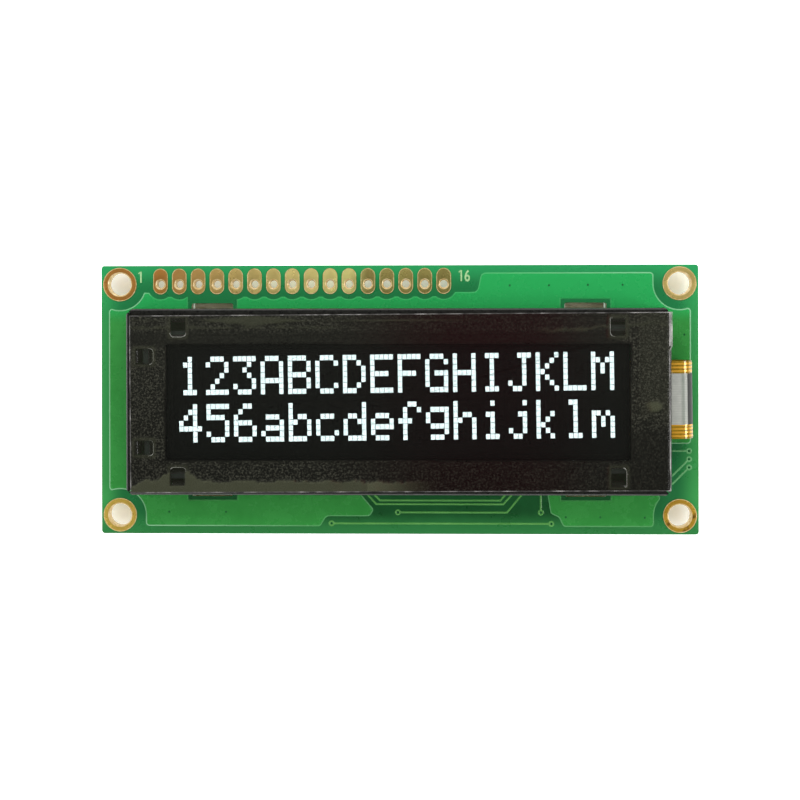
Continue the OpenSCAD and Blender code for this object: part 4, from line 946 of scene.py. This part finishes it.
# Clear film vanishes where it clings, but for specks in its glue, and where it is loose it is a grey veil, a
# painted reflection.
clear, tree, shader, place, tint = mottled("clear polyester film", dark="#000000", light="#020202",
                                           patch=5 * MM, roughness=0.1, sockets={"IOR": 2.2})
loose = add_node(tree, "Attribute", attribute_name="loose").outputs["Fac"]
clings = add_node(tree, "Attribute", attribute_name="clings").outputs["Fac"]
grain = add_node(tree, "TexNoise", {"Scale": 1 / GLUE_GRAIN, "Detail": 3.0}, {"Vector": place})
grain = add_node(tree, "MapRange", GLUE_SPECKS, {"Value": grain.outputs["Fac"]})
grain = add_node(tree, "Math", {}, {0: grain, 1: clings}, operation="MULTIPLY")
glue = add_node(tree, "Mix", {6: linear(GLUE_DARK), 7: linear(GLUE_LIGHT)}, {0: grain}, data_type="RGBA")
veil = add_node(tree, "Mix", {7: linear(LOOSE_GREY)}, {0: loose, 6: glue}, data_type="RGBA")
tree.links.new(veil.outputs[2], shader.inputs["Base Color"])
cover = add_node(tree, "Attribute", attribute_name="covers")
tree.links.new(cover.outputs["Fac"], shader.inputs["Alpha"])
keep(film, clear, "glass")
# The cut edge carries a painted highlight, a thin broken pale line, brighter where the film hangs over the
# bezel's end.
film_edge_highlight, tree, shader, place, tint = mottled("painted highlight on the film's cut edge", dark="#3A3A38", light="#F0ECEA",
                                               patch=3 * MM, roughness=0.3)
broken = add_node(tree, "TexNoise", {"Scale": 1 / CUT_BREAK, "Detail": 2.0}, {"Vector": place})
broken = add_node(tree, "MapRange", CUT_COVER, {"Value": broken.outputs["Fac"]})
over = add_node(tree, "SeparateXYZ", {}, {"Vector": place})
over = add_node(tree, "MapRange", OVER_END, {"Value": over.outputs["X"]})
cover = add_node(tree, "Math", {}, {0: broken, 1: over})
tree.links.new(cover.outputs[0], shader.inputs["Alpha"])
film.data.materials.append(film_edge_highlight)

# Floor, light and camera
# The module lies on a white sheet of paper, on the parts of its rear, and is seen from straight above.
# Soft boxes stand on all four sides, under a dim ceiling with a darker reddish band.
FLOOR_LEVEL = -1.4 * MM
FLOOR_SIZE = 3
# Under the board the paper's glow falls off as painted shade, from a little inside the edge.
UNDER_BOARD = {"From Min": -0.8 * MM, "From Max": -0.2 * MM, "To Min": 0.28}
# Each soft box: its place, its size, its power and whether it shows in reflections.
SOFT_BOXES = (("top", (0, 0.36, 0.3), (0.6, 0.3), 1.6, False),
              ("left", (-0.42, 0, 0.3), (0.5, 0.3), 1.0, False),
              ("right", (0.33, -0.03, 0.224), (0.16, 0.125), 0.6, True),
              ("bottom", (0, -0.42, 0.3), (0.5, 0.3), 0.95, False))
CEILING = "#7C7E71"
CEILING_BAND = "#793F45"
# Parts of the room by the direction to them: the band's two sides, its near end, the ceiling and the walls.
BAND_LEFT = {"From Min": -0.06, "From Max": 0.0}
BAND_RIGHT = {"From Min": 0.075, "From Max": 0.095, "To Min": 1.0, "To Max": 0.0}
CEILING_NEAR = {"From Min": -0.13, "From Max": -0.02, "To Min": 0.45, "To Max": 1.0}
CEILING_FROM = {"From Min": 0.9, "From Max": 0.97}
WALLS = {"From Min": 0.1, "From Max": 0.9, "To Min": 0.12, "To Max": 0.25}
CAMERA_FOOT = (5.9 * MM, 13.5 * MM)
CAMERA_HEIGHT = 200 * MM
CAMERA_ROLL = math.radians(-0.12)
LENS_SENSOR = 36
LENS_FOCUS = 67.2
LENS_SHIFT = (0.00225, -0.1266)
LENS_CLIP = (0.01, 20)
bpy.ops.object.select_all(action="DESELECT")
bpy.ops.mesh.primitive_plane_add(size=FLOOR_SIZE, location=(0, 0, FLOOR_LEVEL))
floor = bpy.context.object
floor.name = "floor"
# Paper is an even matt white with a glow that keeps it evenly bright, dimmed under the board as painted
# shade.
paper, tree, shader, place, tint = mottled("white paper", dark="#F4F4F4", light="#FAFAFA", patch=40 * MM,
                                           roughness=0.9, sockets={"Emission Color": linear("#FFFFFF")})
shade = add_node(tree, "VectorMath", {}, {0: place}, operation="ABSOLUTE")
shade = add_node(tree, "VectorMath", {1: BOARD_HALF}, {0: shade}, operation="SUBTRACT")
shade = add_node(tree, "SeparateXYZ", {}, {"Vector": shade})
shade = add_node(tree, "Math", {}, {0: shade.outputs["X"], 1: shade.outputs["Y"]}, operation="MAXIMUM")
shade = add_node(tree, "MapRange", UNDER_BOARD, {"Value": shade})
tree.links.new(shade.outputs["Result"], shader.inputs["Emission Strength"])
floor.data.materials.append(paper)

for name, place, size, power, shows in SOFT_BOXES:
    light = bpy.data.lights.new("soft_box_" + name, "AREA")
    light.shape = "RECTANGLE"
    light.size, light.size_y = size
    light.energy = power
    box = bpy.data.objects.new("soft_box_" + name, light)
    bpy.context.scene.collection.objects.link(box)
    box.location = place
    box.visible_glossy = shows
    box.rotation_euler = box.location.normalized().to_track_quat("Z", "Y").to_euler()

world = bpy.data.worlds.new("studio")
bpy.context.scene.world = world
world.use_nodes = True
tree = world.node_tree
aim = add_node(tree, "TexCoord").outputs["Generated"]
aim = add_node(tree, "SeparateXYZ", {}, {"Vector": aim})
left = add_node(tree, "MapRange", BAND_LEFT, {"Value": aim.outputs["X"]})
right = add_node(tree, "MapRange", BAND_RIGHT, {"Value": aim.outputs["X"]})
band = add_node(tree, "Math", {}, {0: left, 1: right}, operation="MULTIPLY")
ceiling = add_node(tree, "Mix", {6: linear(CEILING), 7: linear(CEILING_BAND)}, {0: band},
                   data_type="RGBA")
near = add_node(tree, "MapRange", CEILING_NEAR, {"Value": aim.outputs["Y"]})
ceiling = add_node(tree, "Mix", {0: 1.0}, {6: ceiling, 7: near}, data_type="RGBA", blend_type="MULTIPLY")
overhead = add_node(tree, "MapRange", CEILING_FROM, {"Value": aim.outputs["Z"]})
walls = add_node(tree, "MapRange", WALLS, {"Value": aim.outputs["Z"]})
studio = add_node(tree, "Mix", {}, {0: overhead, 6: walls, 7: ceiling}, data_type="RGBA")
tree.links.new(studio.outputs[2], tree.nodes["Background"].inputs["Color"])

lens = bpy.data.cameras.new("camera")
lens.sensor_width = LENS_SENSOR
lens.lens = LENS_FOCUS
lens.shift_x, lens.shift_y = LENS_SHIFT
lens.clip_start, lens.clip_end = LENS_CLIP
camera = bpy.data.objects.new("camera", lens)
bpy.context.scene.collection.objects.link(camera)
camera.location = (*CAMERA_FOOT, BOARD_FRONT + CAMERA_HEIGHT)
camera.rotation_euler = (0, math.atan2(CAMERA_FOOT[0], CAMERA_HEIGHT), CAMERA_ROLL)
bpy.context.scene.camera = camera
bpy.context.scene.view_settings.view_transform = "Standard"
